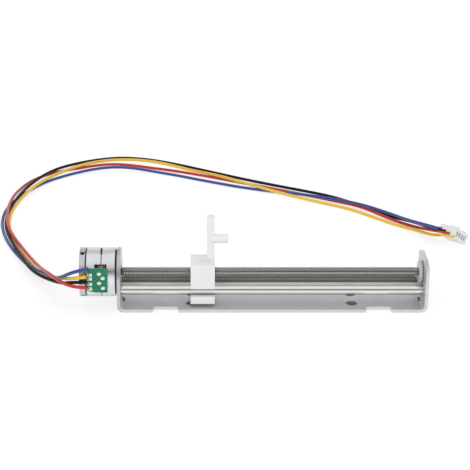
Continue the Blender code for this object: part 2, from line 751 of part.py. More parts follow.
def carriage():
    """Moulded block with a screw bore, a rod bore behind it and a rod slot open to the front."""
    low, high = LEFT_OUT + CARRIAGE_X[0], LEFT_OUT + CARRIAGE_X[1]
    body = prism("carriage", carriage_outline(), low, high, "YZ")
    link_part(body, white_plastic("carriage_acetal"))
    body.modifiers.clear()
    before, after = low - SHEET, high + SHEET
    boolean(body, cylinder_cutter("screw_bore", SCREW_BORE, before, after, (0, AXIS_Z), "YZ"))
    for side in (-1, 1):
        bore = cylinder_cutter(f"rod_bore_{side}", ROD_BORE, before, after, (side * ROD_Y, ROD_Z), "YZ")
        boolean(body, bore)
    slot = block("rod_slot", (before, after), (CARRIAGE_FRONT - SHEET, -ROD_Y), SLOT_Z)
    boolean(body, link_cutter(slot))
    arm = prism("arm", rounded_polygon(((LEFT_OUT + ARM_X[0], ARM_Y[0]), (LEFT_OUT + ARM_X[1], ARM_Y[0]),
                                        (LEFT_OUT + ARM_X[1], ARM_Y[1]), (LEFT_OUT + ARM_X[0], ARM_Y[1])),
                                       CARRIAGE_CORNER, 3), CARRIAGE_TOP - SHEET, ARM_TOP, "XY")
    boolean(body, link_cutter(arm), "UNION")
    peg_y = (ARM_Y[0] + ARM_Y[1]) / 2
    root = ARM_X[1] - SHEET
    stations = ((PEG_END - root, PEG_R - PEG_CHAMFER), (PEG_END - root - PEG_CHAMFER, PEG_R), (0, PEG_R))
    peg = bar("peg", stations, Vector((LEFT_OUT + root, peg_y, PEG_Z)))
    boolean(body, link_cutter(peg), "UNION")
    shade = body.modifiers.new("shading", "NODES")
    shade.node_group = SHADING
    return body


# Flying lead
def smooth_route(points, count):
    """Natural cubic spline through the route, read at evenly spaced places along it."""
    route = np.array(points) * MILLIMETRE + np.array((LEFT_OUT, 0, 0))
    run = np.concatenate(([0], np.cumsum(np.linalg.norm(np.diff(route, axis=0), axis=1))))
    step = np.diff(run)
    size = len(route)
    system = np.eye(size)
    right = np.zeros((size, 3))
    for k in range(1, size - 1):
        system[k, k - 1] = step[k - 1]
        system[k, k] = 2 * (step[k - 1] + step[k])
        system[k, k + 1] = step[k]
        right[k] = 6 * ((route[k + 1] - route[k]) / step[k] - (route[k] - route[k - 1]) / step[k - 1])
    bend = np.linalg.solve(system, right)
    where = np.linspace(0, run[-1], count)
    k = np.clip(np.searchsorted(run, where, side="right") - 1, 0, size - 2)
    a = ((run[k + 1] - where) / step[k])[:, None]
    b = 1 - a
    h = step[k][:, None]
    return a * route[k] + b * route[k + 1] + ((a ** 3 - a) * bend[k] + (b ** 3 - b) * bend[k + 1]) * h * h / 6


def wire(name, points, colour):
    curve = bpy.data.curves.new(name, "CURVE")
    curve.dimensions = "3D"
    spline = curve.splines.new("POLY")
    centres = smooth_route(points, WIRE_POINTS)
    spline.points.add(len(centres) - 1)
    for point, place_at in zip(spline.points, centres):
        point.co = (*place_at, 1)
    curve.bevel_depth = WIRE_R
    curve.bevel_resolution = 2
    curve.use_fill_caps = True
    return link_part(bpy.data.objects.new(name, curve), wire_jacket(name + "_jacket", colour))


def plug_frame():
    """Local X runs from the wires to the mouth, local Y from the first wire to the last."""
    yaw, tilt, roll = math.radians(PLUG_YAW), math.radians(PLUG_TILT), math.radians(PLUG_ROLL)
    along = Vector((math.cos(yaw) * math.cos(tilt), -math.sin(yaw) * math.cos(tilt), math.sin(tilt)))
    level = Vector((math.sin(yaw), math.cos(yaw), 0))
    across = level * math.cos(roll) - along.cross(level) * math.sin(roll)
    up = along.cross(across)
    frame = Matrix((along, across, up)).transposed().to_4x4()
    return Matrix.Translation(Vector(PLUG_CENTRE)) @ frame


def connector_housing():
    w, t = PLUG_WIDTH / 2, PLUG_THICK / 2
    outline = rounded_polygon(((-w, -t), (w, -t), (w, t), (-w, t)), PLUG_CORNER, 3)
    body = place(prism("connector_housing", outline, 0, PLUG_LENGTH, "YZ"), plug_frame())
    link_part(body, white_plastic("connector_nylon"))
    body.modifiers.clear()
    for side in (-1, 1):
        y = side * RIB_OFFSET
        rib = block(f"rib_{side}", (PLUG_LENGTH - RIB_LENGTH, PLUG_LENGTH - GAP),
                    (y - RIB_WIDTH / 2, y + RIB_WIDTH / 2), (t - GAP, t + RIB_TALL))
        boolean(body, link_cutter(place(rib, plug_frame())), "UNION")
    for k in range(4):
        y = (k - 1.5) * PLUG_PITCH
        cavity = block(f"cavity_{k}", (-SHEET, PLUG_LENGTH + SHEET), (y - CAVITY[0] / 2, y + CAVITY[0] / 2),
                       (-CAVITY[1] / 2, CAVITY[1] / 2))
        boolean(body, link_cutter(place(cavity, plug_frame())))
    return body


def connector_contacts():
    mat = contact_metal("contact_tin")
    for k in range(4):
        y = (k - 1.5) * PLUG_PITCH
        contact = block(f"contact_{k + 1}", (CONTACT_START, CONTACT_START + CONTACT_LENGTH),
                        (y - CONTACT[0] / 2, y + CONTACT[0] / 2), (-CONTACT[1] / 2, CONTACT[1] / 2))
        link_part(place(contact, plug_frame()), mat)


def stator():
    openings = (window_cutter(), key_slot_cutter())
    stator_cup("stator_cup_front", *FRONT_CUP, FRONT_CUP[0], openings)
    stator_cup("stator_cup_rear", *REAR_CUP, REAR_CUP[1], openings)
    pole_plate("pole_plate_front", FRONT_CUP[1], -1)
    pole_plate("pole_plate_rear", REAR_CUP[0], 1)
    front = (FRONT_CUP[0] + CUP_END + GAP, FRONT_CUP[1] - POLE_THICK - GAP)
    rear = (REAR_CUP[0] + POLE_THICK + GAP, REAR_CUP[1] - CUP_END - GAP)
    bobbin("bobbin_front", *front)
    bobbin("bobbin_rear", *rear)
    winding("coil_front", *front)
    winding("coil_rear", *rear)


def build():
    bracket()
    lead_screw()
    guide_rod("guide_rod_front", -1)
    guide_rod("guide_rod_rear", 1)
    end_bearing()
    front_bearing()
    rear_bearing()
    rotor_hub()
    rotor_magnet()
    thrust_washer("thrust_washer_front", rotor_span()[0] + WASHER + GAP)
    thrust_washer("thrust_washer_rear", rotor_span()[1] - GAP)
    stator()
    motor_flange()
    rear_cover()
    terminal_block()
    circuit_board()
    terminal_pins()
    solder_joints()
    carriage()
    wire("wire_blue", ROUTE_BLUE, (0.03, 0.09, 0.35))
    wire("wire_yellow", ROUTE_YELLOW, (0.90, 0.55, 0.06))
    wire("wire_black", ROUTE_BLACK, (0.012, 0.012, 0.014))
    wire("wire_red", ROUTE_RED, (0.55, 0.06, 0.05))
    connector_housing()
    connector_contacts()


build()
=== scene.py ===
# %% [markdown]
# # Stepper motor linear slide
# The slide is a folded steel bracket that holds a small can motor, a threaded screw and two polished
# rods. A white carriage runs along them. Four coloured wires leave the motor and end in a white plug.
# The solid parts were modelled before. They are loaded first. Nothing that is added may grow past the
# space they take.
# %% Load the solid parts
import math

import bmesh
import bpy
import numpy as np
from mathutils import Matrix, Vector


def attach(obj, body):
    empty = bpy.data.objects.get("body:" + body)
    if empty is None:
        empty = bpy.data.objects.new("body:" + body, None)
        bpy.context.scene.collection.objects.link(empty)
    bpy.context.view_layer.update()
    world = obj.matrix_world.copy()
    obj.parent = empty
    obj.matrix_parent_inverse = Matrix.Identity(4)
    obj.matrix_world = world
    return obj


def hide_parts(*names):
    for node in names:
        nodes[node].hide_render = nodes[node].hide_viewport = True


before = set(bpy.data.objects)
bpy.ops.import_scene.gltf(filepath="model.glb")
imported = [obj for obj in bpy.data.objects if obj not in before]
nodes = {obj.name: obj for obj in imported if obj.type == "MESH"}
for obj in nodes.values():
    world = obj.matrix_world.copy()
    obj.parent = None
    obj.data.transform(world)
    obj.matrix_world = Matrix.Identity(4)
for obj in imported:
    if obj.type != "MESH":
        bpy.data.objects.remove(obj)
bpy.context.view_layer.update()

MM = 0.001
LEFT_OUT = -47 * MM    # outer face of the left end plate
AXIS_Z = 10 * MM       # height of the screw's axis
print("solid parts:", len(nodes))

# %% [markdown]
# # Camera
# The slide is seen from the front and a little above, through a long lens. Its place could be guessed
# by eye, but fitting a camera to the measured holes, plates and rods is surer. The slide stands left
# of the lens axis, so the frame is shifted a little.
# %% Camera at the photograph's place
SENSOR_WIDTH, FOCAL_LENGTH = 36, 111.17
SHIFT_RIGHT, SHIFT_UP = 0.07766, 0.0134
CAMERA_AT = (-22.36, -407.96, 184.83)
DEGREES_DOWN = 22


def add_object(name, data):
    """Put data into the scene as an object of its own."""
    thing = bpy.data.objects.new(name, data)
    bpy.context.scene.collection.objects.link(thing)
    return thing


camera_data = bpy.data.cameras.new("camera")
camera_data.sensor_width, camera_data.lens = SENSOR_WIDTH, FOCAL_LENGTH
camera_data.shift_x, camera_data.shift_y = SHIFT_RIGHT, SHIFT_UP
camera_data.clip_start, camera_data.clip_end = 0.01, 20
camera = add_object("camera", camera_data)
camera.location = [value * MM for value in CAMERA_AT]
camera.rotation_euler = (math.radians(90 - DEGREES_DOWN), 0, 0)
bpy.context.scene.camera = camera
print("camera stands", round(camera.location.length / MM), "mm from the origin")

# %% [markdown]
# # Routes of the wires
# The four wires are thin and soft. They leave the circuit board, drop to the table behind the slide,
# run in one long loose bend and rise a little into the plug. They could be drawn as Bezier curves. Here
# each follows placed points in millimetres, because such a list is easy to read and to correct. The
# first number counts from the left plate's outer face.
# %% Points of each wire
routes = {
    "blue": (
        (-8.4, -9.1, 14.8), (-12.2, -8.0, 13.4), (-17.99, 0.17, 7.98), (-23.46, 13.01, 3.66),
        (-30.1, 25.8, 0.9), (-36.6, 38.9, 0.5), (-41.5, 52.7, 0.5), (-44.2, 67.1, 0.5),
        (-43.6, 81.8, 0.5), (-39.2, 95.8, 0.5), (-32.1, 108.6, 0.5), (-21.2, 118.2, 0.8),
        (-7.3, 122.4, 1.4), (7.0, 119.7, 0.7), (20.1, 113.2, 0.5), (32.8, 105.9, 0.6), (46.1, 99.7, 0.5),
        (59.7, 94.3, 0.9), (72.6, 87.3, 1.5), (83.9, 78.1, 2.3), (92.57, 69.1, 2.38),
        (98.92, 57.24, 4.11), (103.3, 51.2, 4.95), (106.55, 47.74, 5.09)),
    "yellow": (
        (-9.1, -9.1, 12.1), (-12.22, -7.87, 11.24), (-17.13, 2.5, 6.7), (-23.24, 14.98, 1.91),
        (-29.9, 28.4, 0.6), (-35.8, 42.2, 0.5), (-40.0, 56.5, 0.5), (-41.9, 71.2, 0.6),
        (-40.6, 86.1, 0.8), (-36.3, 100.3, 1.6), (-29.3, 113.5, 1.7), (-19.3, 124.5, 1.9),
        (-6.1, 130.9, 1.6), (8.6, 129.7, 0.9), (21.2, 121.8, 0.6), (31.9, 111.6, 1.8), (43.3, 102.0, 1.8),
        (55.6, 93.6, 1.2), (68.4, 86.0, 0.6), (80.5, 77.2, 0.6), (91.12, 65.88, 0.49),
        (100.79, 56.78, 0.76), (105.83, 52.19, 1.24), (109.43, 49.98, 2.45)),
    "black": (
        (-9.1, -9.1, 10.4), (-12.11, -7.72, 9.77), (-18.1, 2.6, 5.2), (-26.42, 15.02, 2.81),
        (-32.6, 29.1, 2.0), (-37.6, 43.7, 1.4), (-41.6, 58.5, 0.8), (-43.1, 73.7, 0.7),
        (-41.1, 88.8, 1.6), (-37.2, 103.7, 1.8), (-30.9, 117.7, 1.7), (-21.1, 129.3, 0.9),
        (-6.9, 134.6, 1.0), (8.1, 132.2, 0.7), (21.5, 124.7, 0.5), (34.2, 116.1, 0.5), (47.2, 107.7, 0.5),
        (60.4, 100.0, 0.5), (73.4, 91.7, 0.6), (84.4, 81.0, 0.5), (93.18, 69.41, 1.21),
        (99.92, 58.26, 3.24), (103.85, 52.0, 4.02), (107.51, 48.48, 4.21)),
    "red": (
        (-9.1, -9.2, 8.7), (-12.34, -8.36, 8.6), (-19.67, -0.18, 8.31), (-25.0, 13.7, 5.3),
        (-29.8, 27.8, 2.8), (-35.0, 41.8, 1.7), (-40.2, 55.8, 1.9), (-42.8, 70.6, 2.2),
        (-43.0, 85.6, 1.9), (-41.4, 100.4, 0.6), (-35.1, 113.9, 0.5), (-23.3, 122.9, 0.5),
        (-9.0, 126.7, 1.1), (5.7, 124.2, 0.6), (19.5, 118.6, 0.5), (32.8, 111.6, 0.5), (45.8, 104.2, 0.5),
        (58.8, 96.7, 0.5), (71.7, 88.9, 0.5), (83.3, 79.4, 1.0), (92.18, 68.53, 0.79),
        (100.68, 58.48, 1.48), (105.15, 51.81, 3.01), (108.47, 49.23, 3.33)),
}
print("points:", {name: len(points) for name, points in routes.items()})

# %% [markdown]
# # Even bends between the points
# A soft wire has no kinks, so straight lines between the points won't do. A natural cubic spline passes
# through every point and bends as evenly as a thin elastic rod. No part of it may sink into the table.
# %% Smooth lines
WIRE_R = 0.54 * MM
ABOVE_TABLE = 0.01 * MM
STEPS = 300


def smooth_route(points):
    route = np.array(points) * MM + np.array((LEFT_OUT, 0, 0))
    run = np.concatenate(([0], np.cumsum(np.linalg.norm(np.diff(route, axis=0), axis=1))))
    step = np.diff(run)
    size = len(route)
    system = np.eye(size)
    right = np.zeros((size, 3))
    for k in range(1, size - 1):
        system[k, k - 1:k + 2] = step[k - 1], 2 * (step[k - 1] + step[k]), step[k]
        right[k] = 6 * ((route[k + 1] - route[k]) / step[k] - (route[k] - route[k - 1]) / step[k - 1])
    bend = np.linalg.solve(system, right)
    where = np.linspace(0, run[-1], STEPS)
    k = np.clip(np.searchsorted(run, where, side="right") - 1, 0, size - 2)
    a = ((run[k + 1] - where) / step[k])[:, None]
    b = 1 - a
    h = step[k][:, None]
    curved = (a ** 3 - a) * bend[k] + (b ** 3 - b) * bend[k + 1]
    line = a * route[k] + b * route[k + 1] + curved * h * h / 6
    line[:, 2] = np.maximum(line[:, 2], WIRE_R + ABOVE_TABLE)
    return line


def run_length(line):
    return float(np.linalg.norm(np.diff(line, axis=0), axis=1).sum())


wire_lines = {name: smooth_route(points) for name, points in routes.items()}
for name, line in wire_lines.items():
    print("wire", name, "is", round(run_length(line) / MM), "mm long")

# %% [markdown]
# # Effects that several finishes share
# Real metal and plastic are never one flat colour. Painted pictures could show that, but node groups
# stay sharp at any size and need no file. Each of the four groups is built once, has named inputs and
# gives back one mask, which every finish can use in its own strength.
# %% Start of a mask group
def mask_group(name, **inputs):
    """A group with a Vector and the given inputs, and what is needed to build in it."""
    group = bpy.data.node_groups.new(name, "ShaderNodeTree")
    new_socket = group.interface.new_socket
    new_socket("Vector", in_out="INPUT", socket_type="NodeSocketVector")
    for label, value in inputs.items():
        kind = "NodeSocketVector" if isinstance(value, tuple) else "NodeSocketFloat"
        new_socket(label, in_out="INPUT", socket_type=kind).default_value = value
    new_socket("Mask", in_out="OUTPUT", socket_type="NodeSocketFloat")
    start, end = group.nodes.new("NodeGroupInput"), group.nodes.new("NodeGroupOutput")
    return group, group.nodes.new, group.links.new, start.outputs, end.inputs


print("mask groups ready")
# %% Rolled grain
def grain_group():
    """Fine lines along one direction: the place is stretched before the noise is read."""
    group, add, link, given, result = mask_group("rolled_grain", Scale=4000.0, Stretch=(0.04, 1.0, 1.0))
    stretch, tex = add("ShaderNodeVectorMath"), add("ShaderNodeTexNoise")
    stretch.operation = "MULTIPLY"
    tex.inputs["Detail"].default_value = 3.0
    link(given["Vector"], stretch.inputs[0])
    link(given["Stretch"], stretch.inputs[1])
    link(stretch.outputs[0], tex.inputs["Vector"])
    link(given["Scale"], tex.inputs["Scale"])
    link(tex.outputs["Fac"], result["Mask"])
    return group


GRAIN = grain_group()
print("shared effect:", GRAIN.name)
# %% Soft mottle
def mottle_group():
    """Large soft patches mixed with small ones."""
    group, add, link, given, result = mask_group("soft_mottle", Scale=200.0, Contrast=0.25)
    tex, spread = add("ShaderNodeTexNoise"), add("ShaderNodeMapRange")
    tex.inputs["Detail"].default_value = 5.0
    tex.inputs["Roughness"].default_value = 0.6
    for operation, edge in (("SUBTRACT", "From Min"), ("ADD", "From Max")):
        side = add("ShaderNodeMath")
        side.operation = operation
        side.inputs[0].default_value = 0.5
        link(given["Contrast"], side.inputs[1])
        link(side.outputs[0], spread.inputs[edge])
    link(given["Vector"], tex.inputs["Vector"])
    link(given["Scale"], tex.inputs["Scale"])
    link(tex.outputs["Fac"], spread.inputs["Value"])
    link(spread.outputs[0], result["Mask"])
    return group


MOTTLE = mottle_group()
print("shared effect:", MOTTLE.name)
# %% Hair scratches
def scratch_group():
    """Sparse thin lines: the edges of large cells, cut down to hairlines."""
    group, add, link, given, result = mask_group("hair_scratches", Scale=300.0, Width=0.01)
    warp, bend = add("ShaderNodeTexNoise"), add("ShaderNodeMixRGB")
    warp.inputs["Scale"].default_value = 900.0
    bend.inputs["Fac"].default_value = 0.002
    tex, thin = add("ShaderNodeTexVoronoi"), add("ShaderNodeMath")
    tex.feature = "DISTANCE_TO_EDGE"
    thin.operation = "LESS_THAN"
    link(given["Vector"], warp.inputs["Vector"])
    link(given["Vector"], bend.inputs["Color1"])
    link(warp.outputs["Color"], bend.inputs["Color2"])
    link(bend.outputs[0], tex.inputs["Vector"])
    link(given["Scale"], tex.inputs["Scale"])
    link(tex.outputs["Distance"], thin.inputs[0])
    link(given["Width"], thin.inputs[1])
    link(thin.outputs[0], result["Mask"])
    return group


SCRATCH = scratch_group()
print("shared effect:", SCRATCH.name)
# %% Nearness to a point or a line
def near_group():
    """One near a centre and nought away from it; a zero in Axes leaves that direction out."""
    group, add, link, given, result = mask_group(
        "near_a_line", Centre=(0.0, 0.0, 0.0), Axes=(1.0, 1.0, 1.0), Inside=0.001, Outside=0.0012,
        Ragged=0.0001)
    away, keep, size = (add("ShaderNodeVectorMath") for _ in range(3))
    away.operation, keep.operation, size.operation = "SUBTRACT", "MULTIPLY", "LENGTH"
    tex, shift, spread = add("ShaderNodeTexNoise"), add("ShaderNodeMath"), add("ShaderNodeMapRange")
    tex.inputs["Scale"].default_value = 1200.0
    shift.operation = "MULTIPLY_ADD"
    spread.inputs["To Min"].default_value = 1.0
    spread.inputs["To Max"].default_value = 0.0
    for source, target in (
            (given["Vector"], away.inputs[0]), (given["Centre"], away.inputs[1]),
            (away.outputs[0], keep.inputs[0]), (given["Axes"], keep.inputs[1]),
            (keep.outputs[0], size.inputs[0]), (given["Vector"], tex.inputs["Vector"]),
            (tex.outputs["Fac"], shift.inputs[0]), (given["Ragged"], shift.inputs[1]),
            (size.outputs["Value"], shift.inputs[2]), (given["Inside"], spread.inputs["From Min"]),
            (given["Outside"], spread.inputs["From Max"]), (shift.outputs[0], spread.inputs["Value"]),
            (spread.outputs[0], result["Mask"])):
        link(source, target)
    return group


NEAR = near_group()
print("shared effect:", NEAR.name)

# %% [markdown]
# # Finish maker
# Every finish is one Principled shader whose colour, roughness and bump come from the groups above.
# Each could be built by hand, but one helper lets a finish differ from the next in a few numbers.
# %% Finish maker
SCRATCH_WIDTH = 0.012
BUMP_DEPTH = 0.02 * MM


def finish(name, colour, roughness, metallic=0.0, second=None, grain=0.0, grain_scale=4000.0,
           stretch=(0.04, 1.0, 1.0), mottle=0.0, mottle_scale=900.0, contrast=0.25, rough_spread=0.08,
           bump=0.0, scratches=0.0, scratch_scale=300.0, **sockets):
    mat = bpy.data.materials.new(name)
    mat.use_nodes = True
    tree = mat.node_tree
    add, link = tree.nodes.new, tree.links.new
    shader = tree.nodes["Principled BSDF"]
    shader.inputs["Metallic"].default_value = metallic
    for socket, value in sockets.items():
        shader.inputs[socket.replace("_", " ")].default_value = value
    place = add("ShaderNodeTexCoord").outputs["Object"]

    def effect(group, **values):
        node = add("ShaderNodeGroup")
        node.node_tree = group
        link(place, node.inputs["Vector"])
        for socket, value in values.items():
            node.inputs[socket].default_value = value
        return node.outputs["Mask"]

    def mix(fac, first, other, share):
        scale, node = add("ShaderNodeMath"), add("ShaderNodeMixRGB")
        scale.operation = "MULTIPLY"
        scale.inputs[1].default_value = share
        link(fac, scale.inputs[0])
        link(scale.outputs[0], node.inputs["Fac"])
        for value, socket in ((first, node.inputs["Color1"]), (other, node.inputs["Color2"])):
            if isinstance(value, tuple):
                socket.default_value = (*value, 1)
            else:
                link(value, socket)
        return node.outputs[0]

    soft = height = effect(MOTTLE, Scale=mottle_scale, Contrast=contrast)
    mixed = mix(soft, colour, second or tuple(c * 0.8 for c in colour), mottle)
    if grain:
        height = effect(GRAIN, Scale=grain_scale, Stretch=stretch)
        mixed = mix(height, mixed, tuple(c * 0.6 for c in colour), grain)
    if scratches:
        lines = effect(SCRATCH, Scale=scratch_scale, Width=SCRATCH_WIDTH)
        mixed = mix(lines, mixed, tuple(min(1, c * 1.35) for c in colour), scratches)
    link(mixed, shader.inputs["Base Color"])
    rough = add("ShaderNodeMapRange")
    rough.inputs["To Min"].default_value = max(0.02, roughness - rough_spread / 2)
    rough.inputs["To Max"].default_value = roughness + rough_spread / 2
    link(soft, rough.inputs["Value"])
    link(rough.outputs[0], shader.inputs["Roughness"])
    if bump:
        node = add("ShaderNodeBump")
        node.inputs["Strength"].default_value = bump
        node.inputs["Distance"].default_value = BUMP_DEPTH
        link(height, node.inputs["Height"])
        link(node.outputs[0], shader.inputs["Normal"])
    return mat


def paint(piece, mat):
    piece.data.materials.clear()
    piece.data.materials.append(mat)
    return piece


print("finish maker ready")

# %% [markdown]
# # Stains and painted light
# Grease on the rear rod, painted shade in grooves, corners and a crimped pit, and painted reflections on
# the rear rod each keep to one place. A painted mask could hold them, but the group that measures how
# near a point lies needs none, and its centre is given in millimetres on the object.
# %% Stains and painted light
def stain_and_painted_light(mat, colour, centre, axes, inside, outside, ragged=0.0, share=1.0, covers_metal=False):
    """Lay a second colour over a finish near a point or a line, in millimetres."""
    tree = mat.node_tree
    add, link = tree.nodes.new, tree.links.new
    shader = tree.nodes["Principled BSDF"]
    base = shader.inputs["Base Color"]
    before = base.links[0].from_socket
    near, part, mixed = add("ShaderNodeGroup"), add("ShaderNodeMath"), add("ShaderNodeMixRGB")
    near.node_tree = NEAR
    link(add("ShaderNodeTexCoord").outputs["Object"], near.inputs["Vector"])
    near.inputs["Centre"].default_value = tuple(v * MM for v in centre)
    near.inputs["Axes"].default_value = axes
    for socket, value in (("Inside", inside), ("Outside", outside), ("Ragged", ragged)):
        near.inputs[socket].default_value = value * MM
    part.operation = "MULTIPLY"
    part.inputs[1].default_value = share
    link(near.outputs["Mask"], part.inputs[0])
    mixed.inputs["Color2"].default_value = (*colour, 1)
    link(part.outputs[0], mixed.inputs["Fac"])
    link(before, mixed.inputs["Color1"])
    link(mixed.outputs[0], base)
    if covers_metal:
        metal = add("ShaderNodeMapRange")
        metal.inputs["To Min"].default_value = shader.inputs["Metallic"].default_value
        metal.inputs["To Max"].default_value = 0.0
        link(part.outputs[0], metal.inputs["Value"])
        link(metal.outputs[0], shader.inputs["Metallic"])
    return mat


# These directions serve stains, painted shade and painted reflections alike.
ALONG_X = (0, 1, 1)      # a stain that runs along the slide
ACROSS_X = (1, 0, 0)     # a stain that lies in one slice across the slide
ONE_HEIGHT = (0, 0, 1)   # a stain at one height above the table
print("stains can follow:", ALONG_X, ACROSS_X, ONE_HEIGHT)

# %% [markdown]
# # Sheet steel
# The bracket is galvanised sheet: a soft, slightly blue metal with grain from the rolls. Its cut edges
# are smoother and brighter. Two finishes on one piece show that better than one mixed finish, and
# painted shade darkens the left plate's edge.
# %% Sheet steel
sheet_steel = finish("sheet_steel", (0.74, 0.765, 0.78), 0.50, 0.8, second=(0.65, 0.685, 0.705), grain=0.25,
                     grain_scale=2600.0, stretch=(0.03, 1.0, 1.0), mottle=0.5, mottle_scale=260.0, bump=0.2,
                     scratches=0.2, scratch_scale=160.0)
cut_edge = finish("cut_sheet_edge", (0.76, 0.77, 0.78), 0.38, 0.9, second=(0.62, 0.63, 0.64), grain=0.35,
                  grain_scale=3000.0, stretch=(0.1, 1.0, 1.0), mottle=0.6, mottle_scale=500.0, bump=0.2)
# Painted shade: the left plate's cut edge is darker.
stain_and_painted_light(cut_edge, (0.50, 0.52, 0.52), (-46.5, 0, 0), ACROSS_X, 0.6, 0.8, 0.0, 0.8)
print("sheet finishes:", sheet_steel.name, cut_edge.name)

# %% [markdown]
# # Motor metals
# The motor's cups are zinc plated and its rear cover is a warmer, darker plating. A dark painted shade
# marks a crimped pit in the cover. Both get painted shade towards the table and in the groove between
# them. The groove next to the left plate gets a dark finish of its own, because hardly any light
# reaches it.
# %% Motor metals
plated = dict(mottle=0.55, mottle_scale=300.0, contrast=0.18, bump=0.06, scratches=0.15, scratch_scale=350.0)
zinc = finish("zinc_plate", (0.80, 0.82, 0.85), 0.32, 1.0, second=(0.70, 0.67, 0.76), grain=0.12,
              grain_scale=2500.0, stretch=(1.0, 0.05, 0.05), **plated)
cover_zinc = finish("rear_cover_zinc", (0.66, 0.64, 0.67), 0.34, 1.0, second=(0.52, 0.48, 0.52), **plated)
for mat in (zinc, cover_zinc):
    # Painted shade: darker towards the table along the can's lower front.
    stain_and_painted_light(mat, (0.40, 0.41, 0.41), (0, -2.5, 2.4), ALONG_X, 1.4, 4.6, 0.3, 0.8)
    # Painted shade in the groove between the rear cup and the cover.
    stain_and_painted_light(mat, (0.10, 0.10, 0.10), (-56.45, 0, 0), ACROSS_X, 0.10, 0.32, 0.0, 0.9)
# Painted shade in the crimped pit of the cover.
stain_and_painted_light(cover_zinc, (0.05, 0.035, 0.04), (-57.5, -2.1, 16.8), (0.55, 1, 1), 0.45, 0.75, 0.1, 0.9)
stain_and_painted_light(cover_zinc, (0.62, 0.50, 0.50), (-57.9, 0.4, 17.4), (0.5, 1, 1), 0.5, 1.3, 0.2, 0.6)
groove_dark = finish("groove_dark", (0.10, 0.095, 0.09), 0.5, 0.8, mottle=0.4, mottle_scale=200.0)
print("motor finishes:", zinc.name, cover_zinc.name, groove_dark.name)

# %% [markdown]
# # Rods and screw
# The front rod is ground steel and mirrors the room in long bands. The rear rod is a near-white,
# hardly metallic steel below, a painted reflection of the bright room. Its top is dark brown, partly a film
# of grease and partly a painted reflection of the dark screw and painted shade, with a lighter painted
# reflection line in it, laid on as stains. The thread's grooves are darker below a set distance from
# the axis, as painted shade.
# %% Rods and screw
rod_steel = finish("rod_steel", (0.80, 0.79, 0.77), 0.07, 1.0, second=(0.66, 0.64, 0.61), mottle=0.4,
                   mottle_scale=250.0, rough_spread=0.05, scratches=0.1, scratch_scale=500.0)
# Painted reflection: the near-white, hardly metallic colour stands in for the bright room mirrored below.
greased_rod = finish("greased_rod", (0.97, 0.97, 0.96), 0.25, 0.15, second=(0.92, 0.92, 0.91), mottle=0.4,
                     mottle_scale=250.0, rough_spread=0.05, Specular_IOR_Level=0.0)
# Grease and painted light: the dark brown top is partly grease, partly the painted reflection of the dark
# screw and painted shade.
stain_and_painted_light(greased_rod, (0.15, 0.135, 0.12), (0, 0, 8.2), ONE_HEIGHT, 2.45, 2.75, 0.15, 0.97, covers_metal=True)
# Painted reflection: a lighter line along the dark top.
stain_and_painted_light(greased_rod, (0.34, 0.32, 0.29), (0, 2.24, 6.63), ALONG_X, 0.12, 0.42, 0.1, 0.85)
thread_steel = finish("thread_steel", (0.58, 0.57, 0.55), 0.20, 1.0, second=(0.46, 0.445, 0.42), mottle=0.6,
                      mottle_scale=350.0)
# Painted shade: the thread's grooves are darker below a set distance from the axis.
stain_and_painted_light(thread_steel, (0.30, 0.29, 0.275), (0, 0, 10), ALONG_X, 1.38, 1.47)
print("slide finishes:", rod_steel.name, greased_rod.name, thread_steel.name)

# %% [markdown]
# # Small metal parts
# Bearings, pole plates, pins, joints and contacts are tiny or hidden, so plain values are enough. The
# winding is lacquered and almost black in its window. The bare wire ends are copper gone dull.
# %% Small metal parts
bronze = finish("bronze", (0.50, 0.36, 0.18), 0.45, 0.9, mottle=0.4)
iron = finish("pole_iron", (0.40, 0.41, 0.43), 0.35, 0.9, mottle=0.4, mottle_scale=200.0)
# The magnet's ferrite black also paints the shadow below the board.
ferrite = finish("ferrite", (0.05, 0.05, 0.055), 0.6, mottle=0.5, bump=0.2)
tin = finish("tin", (0.88, 0.87, 0.85), 0.20, 1.0, second=(0.60, 0.58, 0.56), mottle=0.4, mottle_scale=1100.0)
matt_tin = finish("matt_tin", (0.80, 0.79, 0.78), 0.5, 0.2, mottle=0.3)
copper = finish("copper_wire", (0.14, 0.05, 0.035), 0.32, 0.6, second=(0.04, 0.03, 0.02), mottle=0.7)
dull_copper = finish("dull_copper", (0.42, 0.33, 0.24), 0.4, 0.8, mottle=0.5)
print("small metal finishes:", bronze.name, iron.name, tin.name)

# %% [markdown]
# # White plastics
# The carriage is acetal, which lets a little light in, so it gets some subsurface scattering. A faint
# warm painted shade lies on its top where the arm meets the block. The end bearing is a greyer nylon
# and the plug a whiter one, both too small for scattering to show.
# %% White plastics
acetal = finish("acetal", (0.88, 0.88, 0.885), 0.36, mottle=0.12, mottle_scale=500.0, bump=0.05, IOR=1.48,
                Subsurface_Weight=0.3, Subsurface_Radius=(1.0, 0.95, 0.9), Subsurface_Scale=0.5 * MM)
# Painted shade where the arm meets the block's top.
stain_and_painted_light(acetal, (0.74, 0.69, 0.65), (-20.7, -3.1, 14.65), (0.45, 1, 1), 0.1, 1.3, 0.2, 0.6)
bush_white = finish("bush_white", (0.62, 0.63, 0.635), 0.4, mottle=0.2, mottle_scale=700.0, bump=0.05)
nylon = finish("nylon", (0.90, 0.90, 0.915), 0.30, mottle=0.12, mottle_scale=600.0, bump=0.05, IOR=1.4)
print("white plastics:", acetal.name, bush_white.name, nylon.name)

